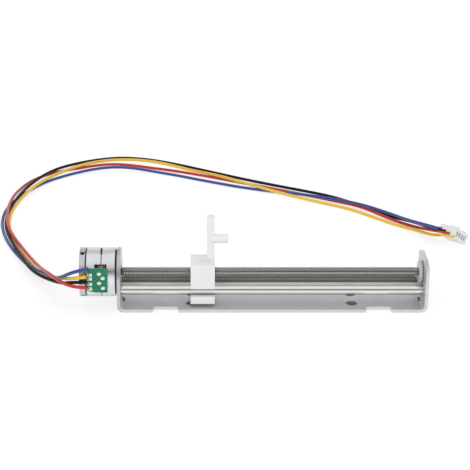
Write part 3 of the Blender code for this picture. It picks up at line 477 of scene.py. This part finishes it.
# %% [markdown]
# # Board and coil plastics
# The circuit board has a green mask, which looks darker where copper lies under it, so two close
# greens are enough. The bobbins and the terminal block are a brown resin that shows only through the
# motor's window.
# %% Board and coil plastics
brown_resin = finish("brown_resin", (0.30, 0.17, 0.15), 0.5, second=(0.12, 0.05, 0.05), mottle=0.6, bump=0.1)
mask_green = finish("solder_mask", (0.010, 0.25, 0.115), 0.38, second=(0.008, 0.20, 0.10), mottle=0.7,
                    mottle_scale=700.0, Specular_IOR_Level=0.3)
trace_green = finish("mask_over_copper", (0.006, 0.19, 0.105), 0.34, second=(0.008, 0.22, 0.11), mottle=0.6,
                     Specular_IOR_Level=0.35)
print("board finishes:", brown_resin.name, mask_green.name, trace_green.name)

# %% [markdown]
# # Colours of the wires
# The jackets are soft glossy plastic, so three of them get a thin clear coat. The black one is duller,
# because a gloss would make it look grey at this size.
# %% Colours of the wires
jackets = {"black": finish("jacket_black", (0.008, 0.008, 0.009), 0.5, mottle=0.25, mottle_scale=160.0,
                           Specular_IOR_Level=0.25)}
for name, colour, darker, roughness in (("blue", (0.030, 0.075, 0.34), (0.02, 0.045, 0.20), 0.40),
                                        ("yellow", (0.95, 0.61, 0.045), (0.85, 0.50, 0.035), 0.42),
                                        ("red", (0.66, 0.03, 0.025), (0.38, 0.02, 0.02), 0.42)):
    jackets[name] = finish("jacket_" + name, colour, roughness, second=darker, mottle=0.5,
                           mottle_scale=120.0, Coat_Weight=0.2)
print("wire jackets:", ", ".join(jackets))

# %% [markdown]
# # Geometry Nodes helpers
# Round wires and a screw thread follow a rule, so trees of Geometry Nodes make them. These helpers give
# every tree named inputs and the same ending, and keep its result as a plain mesh.
# %% Start and end of a tree
SOCKET_KINDS = {float: "NodeSocketFloat", int: "NodeSocketInt"}


def geometry_tree(name, **inputs):
    """A tree with the given inputs and a Finish, and what is needed to build in it."""
    tree = bpy.data.node_groups.new(name, "GeometryNodeTree")
    new_socket = tree.interface.new_socket
    new_socket("Geometry", in_out="INPUT", socket_type="NodeSocketGeometry")
    for label, value in inputs.items():
        kind = SOCKET_KINDS[type(value)]
        new_socket(label.replace("_", " "), in_out="INPUT", socket_type=kind).default_value = value
    new_socket("Finish", in_out="INPUT", socket_type="NodeSocketMaterial")
    new_socket("Geometry", in_out="OUTPUT", socket_type="NodeSocketGeometry")
    start, end = tree.nodes.new("NodeGroupInput"), tree.nodes.new("NodeGroupOutput")
    return tree, tree.nodes.new, tree.links.new, start.outputs, end.inputs


def close_tree(add, link, shape, given, result):
    smooth, real = add("GeometryNodeSetShadeSmooth"), add("GeometryNodeRealizeInstances")
    coat = add("GeometryNodeSetMaterial")
    link(shape, smooth.inputs["Geometry"])
    link(smooth.outputs[0], real.inputs[0])
    link(real.outputs[0], coat.inputs["Geometry"])
    link(given["Finish"], coat.inputs["Material"])
    link(coat.outputs[0], result[0])


print("trees take:", ", ".join(SOCKET_KINDS.values()))
# %% Run a tree
def worked_out(source, name):
    """The object's mesh with its modifiers worked out, in place of the object."""
    bpy.context.view_layer.update()
    graph = bpy.context.evaluated_depsgraph_get()
    mesh = bpy.data.meshes.new_from_object(source.evaluated_get(graph))
    bpy.data.objects.remove(source, do_unlink=True)
    mesh.name = name
    return mesh


def run_tree(name, mesh, tree, **values):
    """Run a tree on a start mesh and keep the result as a plain mesh object."""
    source = add_object(name + "_source", mesh)
    modifier = source.modifiers.new("tree", "NODES")
    modifier.node_group = tree
    for item in tree.interface.items_tree:
        label = item.name.replace(" ", "_")
        if item.item_type == "SOCKET" and item.in_out == "INPUT" and label in values:
            modifier[item.identifier] = values[label]
    return add_object(name, worked_out(source, name))


def line_mesh(points):
    mesh = bpy.data.meshes.new("line")
    mesh.from_pydata([tuple(p) for p in points], [(k, k + 1) for k in range(len(points) - 1)], [])
    return mesh


print("tree runner ready")

# %% [markdown]
# # Wire jackets
# A jacket is a round plastic tube. A curve with a bevel could make it too, but a tree that sweeps a
# circle along the line also serves the bare wire ends later. The photograph's wires look a little
# thicker than the solid ones, so the jackets are 1.08 mm thick.
# %% Tube tree
def tube_tree():
    tree, add, link, given, result = geometry_tree("tube_along_line", Radius=WIRE_R, Sides=16)
    line, circle = add("GeometryNodeMeshToCurve"), add("GeometryNodeCurvePrimitiveCircle")
    sweep = add("GeometryNodeCurveToMesh")
    sweep.inputs["Fill Caps"].default_value = True
    link(given["Geometry"], line.inputs[0])
    link(given["Radius"], circle.inputs["Radius"])
    link(given["Sides"], circle.inputs["Resolution"])
    link(line.outputs[0], sweep.inputs["Curve"])
    link(circle.outputs[0], sweep.inputs["Profile Curve"])
    close_tree(add, link, sweep.outputs[0], given, result)
    return tree


TUBE = tube_tree()
print("tube tree has", len(TUBE.nodes), "nodes")
# %% The four wires
WIRE_SIDES = 14
for name, line in wire_lines.items():
    tube = run_tree(f"jacket_{name}", line_mesh(line), TUBE, Radius=WIRE_R, Sides=WIRE_SIDES,
                    Finish=jackets[name])
    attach(tube, "frame")
    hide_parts(f"wire_{name}")
    print("jacket", name, "has", len(tube.data.polygons), "faces")

# %% [markdown]
# # Pieces with softened edges
# No real edge is perfectly sharp, and a thin rounding catches the light. The helper copies a solid
# part's mesh, joins its corners and flat areas, and rounds every sharp edge. A side with many holes
# keeps its small faces, because one large face round holes can be filled wrongly.
# %% Merged copy
FLAT_ANGLE = math.radians(0.6)


def merged_copy(node_name, pierced=False):
    """The solid part in one piece, with flat areas joined where no holes forbid it."""
    work = bmesh.new()
    work.from_mesh(nodes[node_name].data)
    work.transform(nodes[node_name].matrix_world)
    bmesh.ops.remove_doubles(work, verts=work.verts, dist=0.001 * MM)
    if pierced:
        bmesh.ops.join_triangles(work, faces=work.faces, angle_face_threshold=0.01, angle_shape_threshold=3.1)
    else:
        bmesh.ops.dissolve_limit(work, angle_limit=FLAT_ANGLE, verts=work.verts, edges=work.edges)
    return work


print("flat areas join below", round(math.degrees(FLAT_ANGLE), 1), "degrees")
# %% Edge softener
SHARP_ANGLE = math.radians(35)


def with_inlays(mesh, inlays):
    """Add more meshes to a mesh, each with the next material."""
    if not inlays:
        return mesh
    whole = bmesh.new()
    whole.from_mesh(mesh)
    for index, inlay in enumerate(inlays, 1):
        first = len(whole.faces)
        whole.from_mesh(inlay)
        whole.faces.ensure_lookup_table()
        for face in whole.faces[first:]:
            face.material_index = index
    whole.to_mesh(mesh)
    whole.free()
    return mesh


def softened(name, node_name, body, width, segments, mats, choose=None, inlays=(), pierced=False):
    """Put a copy with rounded edges, given in millimetres, in the place of a solid part."""
    work = merged_copy(node_name, pierced)
    mesh = bpy.data.meshes.new(name)
    for face in work.faces:
        face.smooth = True
        face.material_index = choose(face) if choose else 0
    work.to_mesh(mesh)
    work.free()
    for mat in mats:
        mesh.materials.append(mat)
    source = add_object(name + "_source", mesh)
    bevel = source.modifiers.new("edges", "BEVEL")
    bevel.width, bevel.segments = width * MM, segments
    bevel.limit_method, bevel.angle_limit = "ANGLE", SHARP_ANGLE
    bevel.miter_outer = "MITER_ARC"
    source.modifiers.new("flat_faces", "WEIGHTED_NORMAL").keep_sharp = True
    piece = add_object(name, with_inlays(worked_out(source, name), inlays))
    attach(piece, body)
    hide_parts(node_name)
    return piece


print("edges are rounded above", round(math.degrees(SHARP_ANGLE)), "degrees")

# %% [markdown]
# # Bracket
# The bracket is one strip of 1 mm sheet, folded up at both ends, with holes and notches in its base.
# The solid part has that shape, so only its edges are rounded. A rule on each face's place and
# direction tells cut faces from the rolled skin, which saves marking them by hand.
# %% Bracket
PLATE_FROM, BASE_TO, FOLD_TOP = 45.9 * MM, 44.9 * MM, 2.05 * MM


def cut_face(face):
    """One for faces cut by the press, which are brighter than the rolled skin."""
    centre, normal = face.calc_center_median(), face.normal
    if abs(normal.y) > 0.5:
        return 1
    if abs(centre.x) > PLATE_FROM and centre.z > FOLD_TOP:
        return int(abs(normal.x) < 0.5)
    return int(abs(normal.x) > 0.9 and abs(centre.x) < BASE_TO)


sheet = softened("bracket_sheet", "bracket", "frame", 0.12, 2, (sheet_steel, cut_edge), cut_face)
print("bracket faces:", len(sheet.data.polygons))

# %% [markdown]
# # Motor can
# The can is two drawn cups, a rear cover and a thin flange against the left plate. Drawn sheet has
# wider roundings than cut sheet, so each piece gets its own width.
# %% Motor can
for node_name, width, mat in (("stator_cup_front", 0.22, zinc), ("stator_cup_rear", 0.22, zinc),
                              ("rear_cover", 0.35, cover_zinc), ("motor_flange", 0.05, groove_dark)):
    shell = softened(node_name + "_shell", node_name, "frame", width, 3, (mat,))
    print(node_name, "has", len(shell.data.polygons), "faces")

# %% [markdown]
# # Guide rods
# Two ground steel rods guide the carriage. The film of grease makes the rear rod a little thicker, so
# its copy is widened about its own axis, and no light shows between it and the screw.
# %% Guide rods
REAR_ROD_Y, REAR_ROD_Z = 3.2, 5.35
FILM = 1.065

for name, mat in (("guide_rod_front", rod_steel), ("guide_rod_rear", greased_rod)):
    rod = softened(name + "_polished", name, "frame", 0.1, 2, (mat,))
    if mat == greased_rod:
        for vertex in rod.data.vertices:
            vertex.co.y = (REAR_ROD_Y + (vertex.co.y / MM - REAR_ROD_Y) * FILM) * MM
            vertex.co.z = (REAR_ROD_Z + (vertex.co.z / MM - REAR_ROD_Z) * FILM) * MM
    print(name, "has", len(rod.data.polygons), "faces")

# %% [markdown]
# # Carriage and end bearing
# The carriage is one moulding of a block, an arm and a peg. Moulded plastic has soft corners, so it is
# rounded more than the bracket. The end bearing is pressed into the right plate.
# %% Carriage and end bearing
slider = softened("slider_block", "carriage", "carriage", 0.16, 3, (acetal,))
bush = softened("end_bush", "end_bearing", "frame", 0.12, 2, (bush_white,))
print("slider faces:", len(slider.data.polygons), "bearing faces:", len(bush.data.polygons))

# %% [markdown]
# # Plug
# The plug is a small white housing with four slots. In the photograph the coloured wires are seen some
# way over or through it. A clear housing would lose its white, so a short length of each colour is
# laid into it as part of the same piece.
# %% Plug
SEEN_R, SEEN_SIDES = 0.42 * MM, 12
SEEN_WIRES = {"blue": ((105.32, 47.1, 5.95), (106.4, 45.89, 6.1)),
              "black": ((105.27, 46.54, 5.41), (107.5, 44.23, 5.89)),
              "red": ((105.23, 46.14, 5.03), (108.56, 42.62, 5.67)),
              "yellow": ((106.01, 44.42, 4.41), (109.84, 40.9, 5.15))}
inlays = []
for name, ends in SEEN_WIRES.items():
    run = [Vector(point) * MM + Vector((LEFT_OUT, 0, 0)) for point in ends]
    seen = run_tree(f"seen_{name}", line_mesh(run), TUBE, Radius=SEEN_R, Sides=SEEN_SIDES,
                    Finish=jackets[name])
    inlays.append(seen.data)
    bpy.data.objects.remove(seen, do_unlink=True)
plug = softened("plug_shell", "connector_housing", "frame", 0.15, 2,
                (nylon, *(jackets[name] for name in SEEN_WIRES)), inlays=inlays, pierced=True)
print("plug faces:", len(plug.data.polygons))

# %% [markdown]
# # Screw thread
# The screw has a fine thread of 0.5 mm pitch. A long grid is rolled into a helix: one direction of the
# grid becomes the turn round the screw and the other the profile of one groove and one ridge. A Screw
# modifier could do it too, but the tree's inputs name every size.
# %% One math node
def math_node(tree, operation, first, other, third=None):
    node = tree.nodes.new("ShaderNodeMath")
    node.operation = operation
    for socket, value in zip(node.inputs, (first, other, third)):
        if isinstance(value, (int, float)):
            socket.default_value = value
        elif value is not None:
            tree.links.new(value, socket)
    return node.outputs[0]


print("math nodes ready")
# %% Thread tree
RIDGE_HALF, GROOVE_FROM = 0.07, 0.43    # shares of the pitch, from the middle of a ridge
PROFILE_POINTS = 9


def thread_tree():
    tree, add, link, given, result = geometry_tree(
        "helical_thread", Outer_Radius=0.0015, Root_Radius=0.0012, Pitch=0.0005, Turns=100, Sides=20,
        Start_X=0.0, Axis_Height=0.01)
    grid, split = add("GeometryNodeMeshGrid"), add("ShaderNodeSeparateXYZ")
    link(math_node(tree, "MULTIPLY_ADD", given["Turns"], given["Sides"], 1), grid.inputs["Vertices X"])
    grid.inputs["Vertices Y"].default_value = PROFILE_POINTS
    grid.inputs["Size X"].default_value = grid.inputs["Size Y"].default_value = 1.0
    link(add("GeometryNodeInputPosition").outputs[0], split.inputs[0])
    turn = math_node(tree, "MULTIPLY", math_node(tree, "ADD", split.outputs["X"], 0.5), given["Turns"])
    across = math_node(tree, "ADD", split.outputs["Y"], 0.5)
    angle = math_node(tree, "MULTIPLY", turn, math.tau)
    ridge = add("ShaderNodeMapRange")
    link(math_node(tree, "ABSOLUTE", split.outputs["Y"], None), ridge.inputs["Value"])
    ridge.inputs["From Min"].default_value = RIDGE_HALF
    ridge.inputs["From Max"].default_value = GROOVE_FROM
    link(given["Outer Radius"], ridge.inputs["To Min"])
    link(given["Root Radius"], ridge.inputs["To Max"])
    radius = ridge.outputs[0]
    along = math_node(tree, "ADD", turn, across)
    x = math_node(tree, "MULTIPLY_ADD", along, given["Pitch"], given["Start X"])
    y = math_node(tree, "MULTIPLY", radius, math_node(tree, "COSINE", angle, None))
    z = math_node(tree, "MULTIPLY_ADD", radius, math_node(tree, "SINE", angle, None), given["Axis Height"])
    join = add("ShaderNodeCombineXYZ")
    for value, socket in zip((x, y, z), join.inputs):
        link(value, socket)
    move, weld = add("GeometryNodeSetPosition"), add("GeometryNodeMergeByDistance")
    link(grid.outputs[0], move.inputs["Geometry"])
    link(join.outputs[0], move.inputs["Position"])
    link(move.outputs[0], weld.inputs["Geometry"])
    weld.inputs["Distance"].default_value = 0.002 * MM
    close_tree(add, link, weld.outputs[0], given, result)
    return tree


THREAD = thread_tree()
print("thread tree has", len(THREAD.nodes), "nodes")

# %% [markdown]
# # Lead screw
# The solid screw is smooth. Its copy is shrunk to the bottom of the grooves wherever it is thicker, and
# the thread is put round it. Both become one mesh, so that the screw turns as one piece.
# %% Lead screw
THREAD_FROM, THREAD_TO, PITCH = -45.5 * MM, 44.4 * MM, 0.5 * MM
OUTER, ROOT, UNDER_THREAD = 1.5 * MM, 1.34 * MM, 0.02 * MM


def mesh_piece(name, work, mat, body):
    """Turn bmesh work into a painted piece that rides a body."""
    mesh = bpy.data.meshes.new(name)
    work.to_mesh(mesh)
    work.free()
    piece = paint(add_object(name, mesh), mat)
    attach(piece, body)
    return piece


turns = int((THREAD_TO - THREAD_FROM) / PITCH) - 1
thread = run_tree("thread", line_mesh([(0, 0, 0)]), THREAD, Outer_Radius=OUTER, Root_Radius=ROOT,
                  Pitch=PITCH, Turns=turns, Sides=20, Start_X=THREAD_FROM, Axis_Height=AXIS_Z,
                  Finish=thread_steel)
core = merged_copy("lead_screw")
for vert in core.verts:
    reach = math.hypot(vert.co.y, vert.co.z - AXIS_Z)
    if reach > ROOT:
        shrink = (ROOT - UNDER_THREAD) / reach
        vert.co.y *= shrink
        vert.co.z = AXIS_Z + (vert.co.z - AXIS_Z) * shrink
core.from_mesh(thread.data)
bpy.data.objects.remove(thread, do_unlink=True)
for face in core.faces:
    face.smooth = True
screw = mesh_piece("lead_screw_thread", core, thread_steel, "screw")
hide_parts("lead_screw")
print("thread turns:", turns, "faces:", len(screw.data.polygons))

# %% [markdown]
# # Copper tracks
# Copper tracks lie under the green mask and join each wire pad to a coil pin. A picture could show
# them, but thin raised strips also catch the light. Each is three slabs: out from the pad, up or down,
# and on to the pin.
# %% Tracks under the mask
def slab(work, x, y, z):
    corners = [work.verts.new((cx, cy, cz)) for cx in x for cy in y for cz in z]
    for face in ((0, 1, 3, 2), (4, 6, 7, 5), (0, 4, 5, 1), (2, 3, 7, 6), (0, 2, 6, 4), (1, 5, 7, 3)):
        work.faces.new([corners[k] for k in face])


BOARD_FRONT, IN_BOARD = -8.3 * MM, 0.1 * MM
PADS = ((-8.0, 12.5), (-8.0, 11.2), (-8.0, 9.5), (-8.0, 8.0))
PINS = ((-5.2, 12.9), (-4.1, 11.5), (-5.2, 9.9), (-4.1, 8.3))
BEND_X, HALF, TRACK_OUT = -6.45, 0.2, 0.03 * MM
BEND_FROM, BEND_TO = BEND_X - HALF, BEND_X + HALF
depth = (BOARD_FRONT - TRACK_OUT, BOARD_FRONT + IN_BOARD)
work = bmesh.new()
for (x0, z0), (x1, z1) in zip(PADS, PINS):
    for (a0, a1), (b0, b1) in (((x0, BEND_FROM), (z0 - HALF, z0 + HALF)),
                               ((BEND_FROM, BEND_TO), (z0 - HALF, z1 + HALF)),
                               ((BEND_TO, x1), (z1 - HALF, z1 + HALF))):
        slab(work, (LEFT_OUT + a0 * MM, LEFT_OUT + a1 * MM), depth, (b0 * MM, b1 * MM))
bmesh.ops.recalc_face_normals(work, faces=work.faces)
tracks = mesh_piece("board_tracks", work, trace_green, "frame")
print("tracks:", len(tracks.data.polygons), "faces")

# %% [markdown]
# # Solder pads
# Molten solder draws itself into a low pillow on each pad. A slab with widely rounded front edges has
# that shape and needs few faces.
# %% Solder on the wire pads
PAD_X, PAD_Z, PAD_TALL, PAD_ROUND = (-0.75, 0.68), (-0.54, 0.56), 0.22 * MM, 0.12 * MM
work = bmesh.new()
for x, z in PADS:
    slab(work, [LEFT_OUT + (x + side) * MM for side in PAD_X],
         (BOARD_FRONT - PAD_TALL, BOARD_FRONT + IN_BOARD), [(z + side) * MM for side in PAD_Z])
bmesh.ops.recalc_face_normals(work, faces=work.faces)
edges = [e for e in work.edges if all(v.co.y < BOARD_FRONT for v in e.verts)]
bmesh.ops.bevel(work, geom=edges, offset=PAD_ROUND, segments=3, profile=0.6, affect="EDGES")
for face in work.faces:
    face.smooth = True
pads = mesh_piece("solder_pillows", work, tin, "frame")
print("solder pillows:", len(pads.data.polygons), "faces")

# %% [markdown]
# # Painted shadow below the board
# Below the board, where the window in the can ends, the gap lies in shadow. One thin dark slab paints
# that shadow.
# %% Painted shadow below the board
GAP_SHADOW_X, GAP_SHADOW_Z, GAP_SHADOW_OUT = (-4.7, -2.85), (6.72, 7.1), 0.015 * MM
work = bmesh.new()
slab(work, [LEFT_OUT + x * MM for x in GAP_SHADOW_X], (BOARD_FRONT - GAP_SHADOW_OUT, BOARD_FRONT + IN_BOARD),
     [z * MM for z in GAP_SHADOW_Z])
bmesh.ops.recalc_face_normals(work, faces=work.faces)
# Painted shadow: a dark slab where only the shadow of the gap lies.
gap_shadow = mesh_piece("board_foot", work, ferrite, "frame")
print("board foot:", len(gap_shadow.data.polygons), "faces")

# %% [markdown]
# # Bare wire ends
# Each wire loses its jacket just before its pad, and a thin copper end bridges the way. The tube tree
# makes it with a slight bow, since a straight end would look like a pin.
# %% Bare wire ends
BARE_R, BARE_SIDES, BOW = 0.2 * MM, 10, 0.12 * MM
TIP_LEFT, TIP_OUT = 0.1 * MM, 0.3 * MM
for (name, line), (x, z) in zip(wire_lines.items(), PADS):
    tip = Vector((LEFT_OUT + x * MM - TIP_LEFT, BOARD_FRONT - TIP_OUT, z * MM))
    root = Vector(line[1])
    middle = root.lerp(tip, 0.5) + Vector((0, -BOW, 0))
    bare = run_tree(f"bare_end_{name}", line_mesh([root, middle, tip]), TUBE, Radius=BARE_R,
                    Sides=BARE_SIDES, Finish=dull_copper)
    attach(bare, "frame")
    print("bare end", name, round((tip - root).length / MM, 1), "mm")

# %% [markdown]
# # Finishes of the other solid parts
# The pieces that keep the solid part's own mesh only get a better finish. Their names say what they
# are, so a table from the start of a name to a finish is enough. The first line that fits counts.
# %% Paint the solid parts
finish_by_name = (
    ("rotor_hub", bush_white), ("bobbin", brown_resin), ("terminal_block", brown_resin),
    ("coil_joint", tin), ("coil", copper), ("front_bearing", bronze), ("rear_bearing", bronze),
    ("thrust", bronze), ("pole", iron), ("circuit_board", mask_green), ("rotor_magnet", ferrite),
    ("contact", matt_tin), ("terminal_pin", tin), ("wire_joint", tin))
painted = 0
for name, node in nodes.items():
    for beginning, mat in finish_by_name:
        if name.startswith(beginning):
            paint(node, mat)
            painted += 1
            break
print("painted", painted, "of", len(nodes), "solid parts")

# %% [markdown]
# # Floor
# The ground is plain white. A grey floor with a glow of its own looks white to the camera and still
# shows a soft shadow, which more light on the object wouldn't give. Under the bracket its glow and grey
# are cut down as a painted shadow, and the holes in the base show that.
# %% Floor
FLOOR_HALF, FLOOR_DROP, FLOOR_GREY = 3.0, 0.02 * MM, 0.42
GLOW, GLOW_ON_OBJECT = 0.68, 0.30
SHADE_X, SHADE_Y, SHADE = 46 * MM, 6.0 * MM, 0.13


def plain_floor():
    mesh = bpy.data.meshes.new("floor")
    low, high = -FLOOR_HALF, FLOOR_HALF
    mesh.from_pydata([(low, low, 0), (high, low, 0), (high, high, 0), (low, high, 0)], [], [(0, 1, 2, 3)])
    floor = add_object("floor", mesh)
    floor.location.z = -FLOOR_DROP
    mat = bpy.data.materials.new("white_floor")
    mat.use_nodes = True
    tree = mat.node_tree
    add, link = tree.nodes.new, tree.links.new
    shader = tree.nodes["Principled BSDF"]
    shader.inputs["Roughness"].default_value = 0.9
    shader.inputs["Specular IOR Level"].default_value = 0.0
    shader.inputs["Emission Color"].default_value = (1, 1, 1, 1)
    glow, split = add("ShaderNodeMapRange"), add("ShaderNodeSeparateXYZ")
    glow.inputs["To Min"].default_value = GLOW
    glow.inputs["To Max"].default_value = GLOW_ON_OBJECT
    link(add("ShaderNodeLightPath").outputs["Is Diffuse Ray"], glow.inputs["Value"])
    link(add("ShaderNodeTexCoord").outputs["Object"], split.inputs[0])
    # Painted shadow: under the bracket the floor keeps only SHADE of its glow and grey.
    beside = math_node(tree, "GREATER_THAN", math_node(tree, "ABSOLUTE", split.outputs["X"], None), SHADE_X)
    before = math_node(tree, "GREATER_THAN", math_node(tree, "ABSOLUTE", split.outputs["Y"], None), SHADE_Y)
    free = math_node(tree, "MAXIMUM", math_node(tree, "MAXIMUM", beside, before), SHADE)
    link(math_node(tree, "MULTIPLY", glow.outputs[0], free), shader.inputs["Emission Strength"])
    link(math_node(tree, "MULTIPLY", FLOOR_GREY, free), shader.inputs["Base Color"])
    paint(floor, mat)
    return floor


print("floor is", round(plain_floor().dimensions.x, 1), "m wide")

# %% [markdown]
# # Room seen in reflections
# Polished metal shows the room round it. A plain world with one brightness for each height above the
# table is easier to tune than a photographed room: a white back, a bright ceiling, and a dark band low
# in front. Only reflections see the bands. The camera sees white, and the rest gets one even light.
# %% Room seen in reflections
EVEN_LIGHT = 0.78
ROOM_BANDS = ((-90, 0.95), (-58, 0.92), (-47, 0.50), (-38, 0.52), (-28, 0.95), (25, 0.98), (46, 0.78),
              (58, 0.32), (66, 0.10), (74, 0.12), (84, 0.85))    # degrees from straight up to the front
SIDE_FALL = (("From Min", 0.40), ("From Max", 0.90), ("To Min", 1.0), ("To Max", 0.30))


def room_light(tree, split):
    """The banded room that metal sees, darker to the left and right."""
    add, link = tree.nodes.new, tree.links.new
    forward = math_node(tree, "MULTIPLY", split.outputs["Y"], -1)
    lean = math_node(tree, "ARCTAN2", forward, split.outputs["Z"])
    share = math_node(tree, "MULTIPLY_ADD", lean, 1 / math.pi, 0.5)
    bands, sides, room = add("ShaderNodeValToRGB"), add("ShaderNodeMapRange"), add("ShaderNodeBackground")
    ramp = bands.color_ramp
    while len(ramp.elements) < len(ROOM_BANDS):
        ramp.elements.new(0.5)
    for element, (angle, value) in zip(ramp.elements, ROOM_BANDS):
        element.position = angle / 180 + 0.5
        element.color = (value, value, value, 1)
    link(share, bands.inputs[0])
    sides.interpolation_type = "SMOOTHSTEP"
    for socket, value in SIDE_FALL:
        sides.inputs[socket].default_value = value
    link(math_node(tree, "ABSOLUTE", split.outputs["X"], None), sides.inputs["Value"])
    link(sides.outputs[0], room.inputs["Strength"])
    link(bands.outputs["Color"], room.inputs["Color"])
    return room


def plain_world():
    world = bpy.data.worlds.new("white_room")
    bpy.context.scene.world = world
    world.use_nodes = True
    tree = world.node_tree
    add, link = tree.nodes.new, tree.links.new
    even, white, split = tree.nodes["Background"], add("ShaderNodeBackground"), add("ShaderNodeSeparateXYZ")
    even.inputs["Color"].default_value = white.inputs["Color"].default_value = (1, 1, 1, 1)
    even.inputs["Strength"].default_value = EVEN_LIGHT
    link(add("ShaderNodeTexCoord").outputs["Generated"], split.inputs[0])
    rays = add("ShaderNodeLightPath").outputs
    light = even.outputs[0]
    for seen_by, other in (("Is Glossy Ray", room_light(tree, split)), ("Is Camera Ray", white)):
        choice = add("ShaderNodeMixShader")
        link(rays[seen_by], choice.inputs[0])
        link(light, choice.inputs[1])
        link(other.outputs[0], choice.inputs[2])
        light = choice.outputs[0]
    link(light, tree.nodes["World Output"].inputs[0])


plain_world()
print("room bands:", len(ROOM_BANDS))

# %% [markdown]
# # Lamps
# Two large soft lamps at the front lift the faces there and throw a faint shadow back. Reflections
# leave them out, because their squares would show on the rods.
# %% Soft lamps
LAMP_SIZE = (0.6, 0.5)


def soft_lamp(name, place, power):
    """A soft lamp that looks at the origin."""
    data = bpy.data.lights.new(name, "AREA")
    data.shape = "RECTANGLE"
    data.size, data.size_y = LAMP_SIZE
    data.energy = power
    lamp = add_object(name, data)
    lamp.location = place
    lamp.rotation_euler = (-Vector(place)).to_track_quat("-Z", "Y").to_euler()
    lamp.visible_glossy = False
    return lamp


lamps = (soft_lamp("front_left", (-0.45, -0.75, 0.42), 1.3),
         soft_lamp("front_right", (0.40, -0.80, 0.38), 0.9))
bpy.context.scene.view_settings.view_transform = "Standard"
print("lamps:", len(lamps))
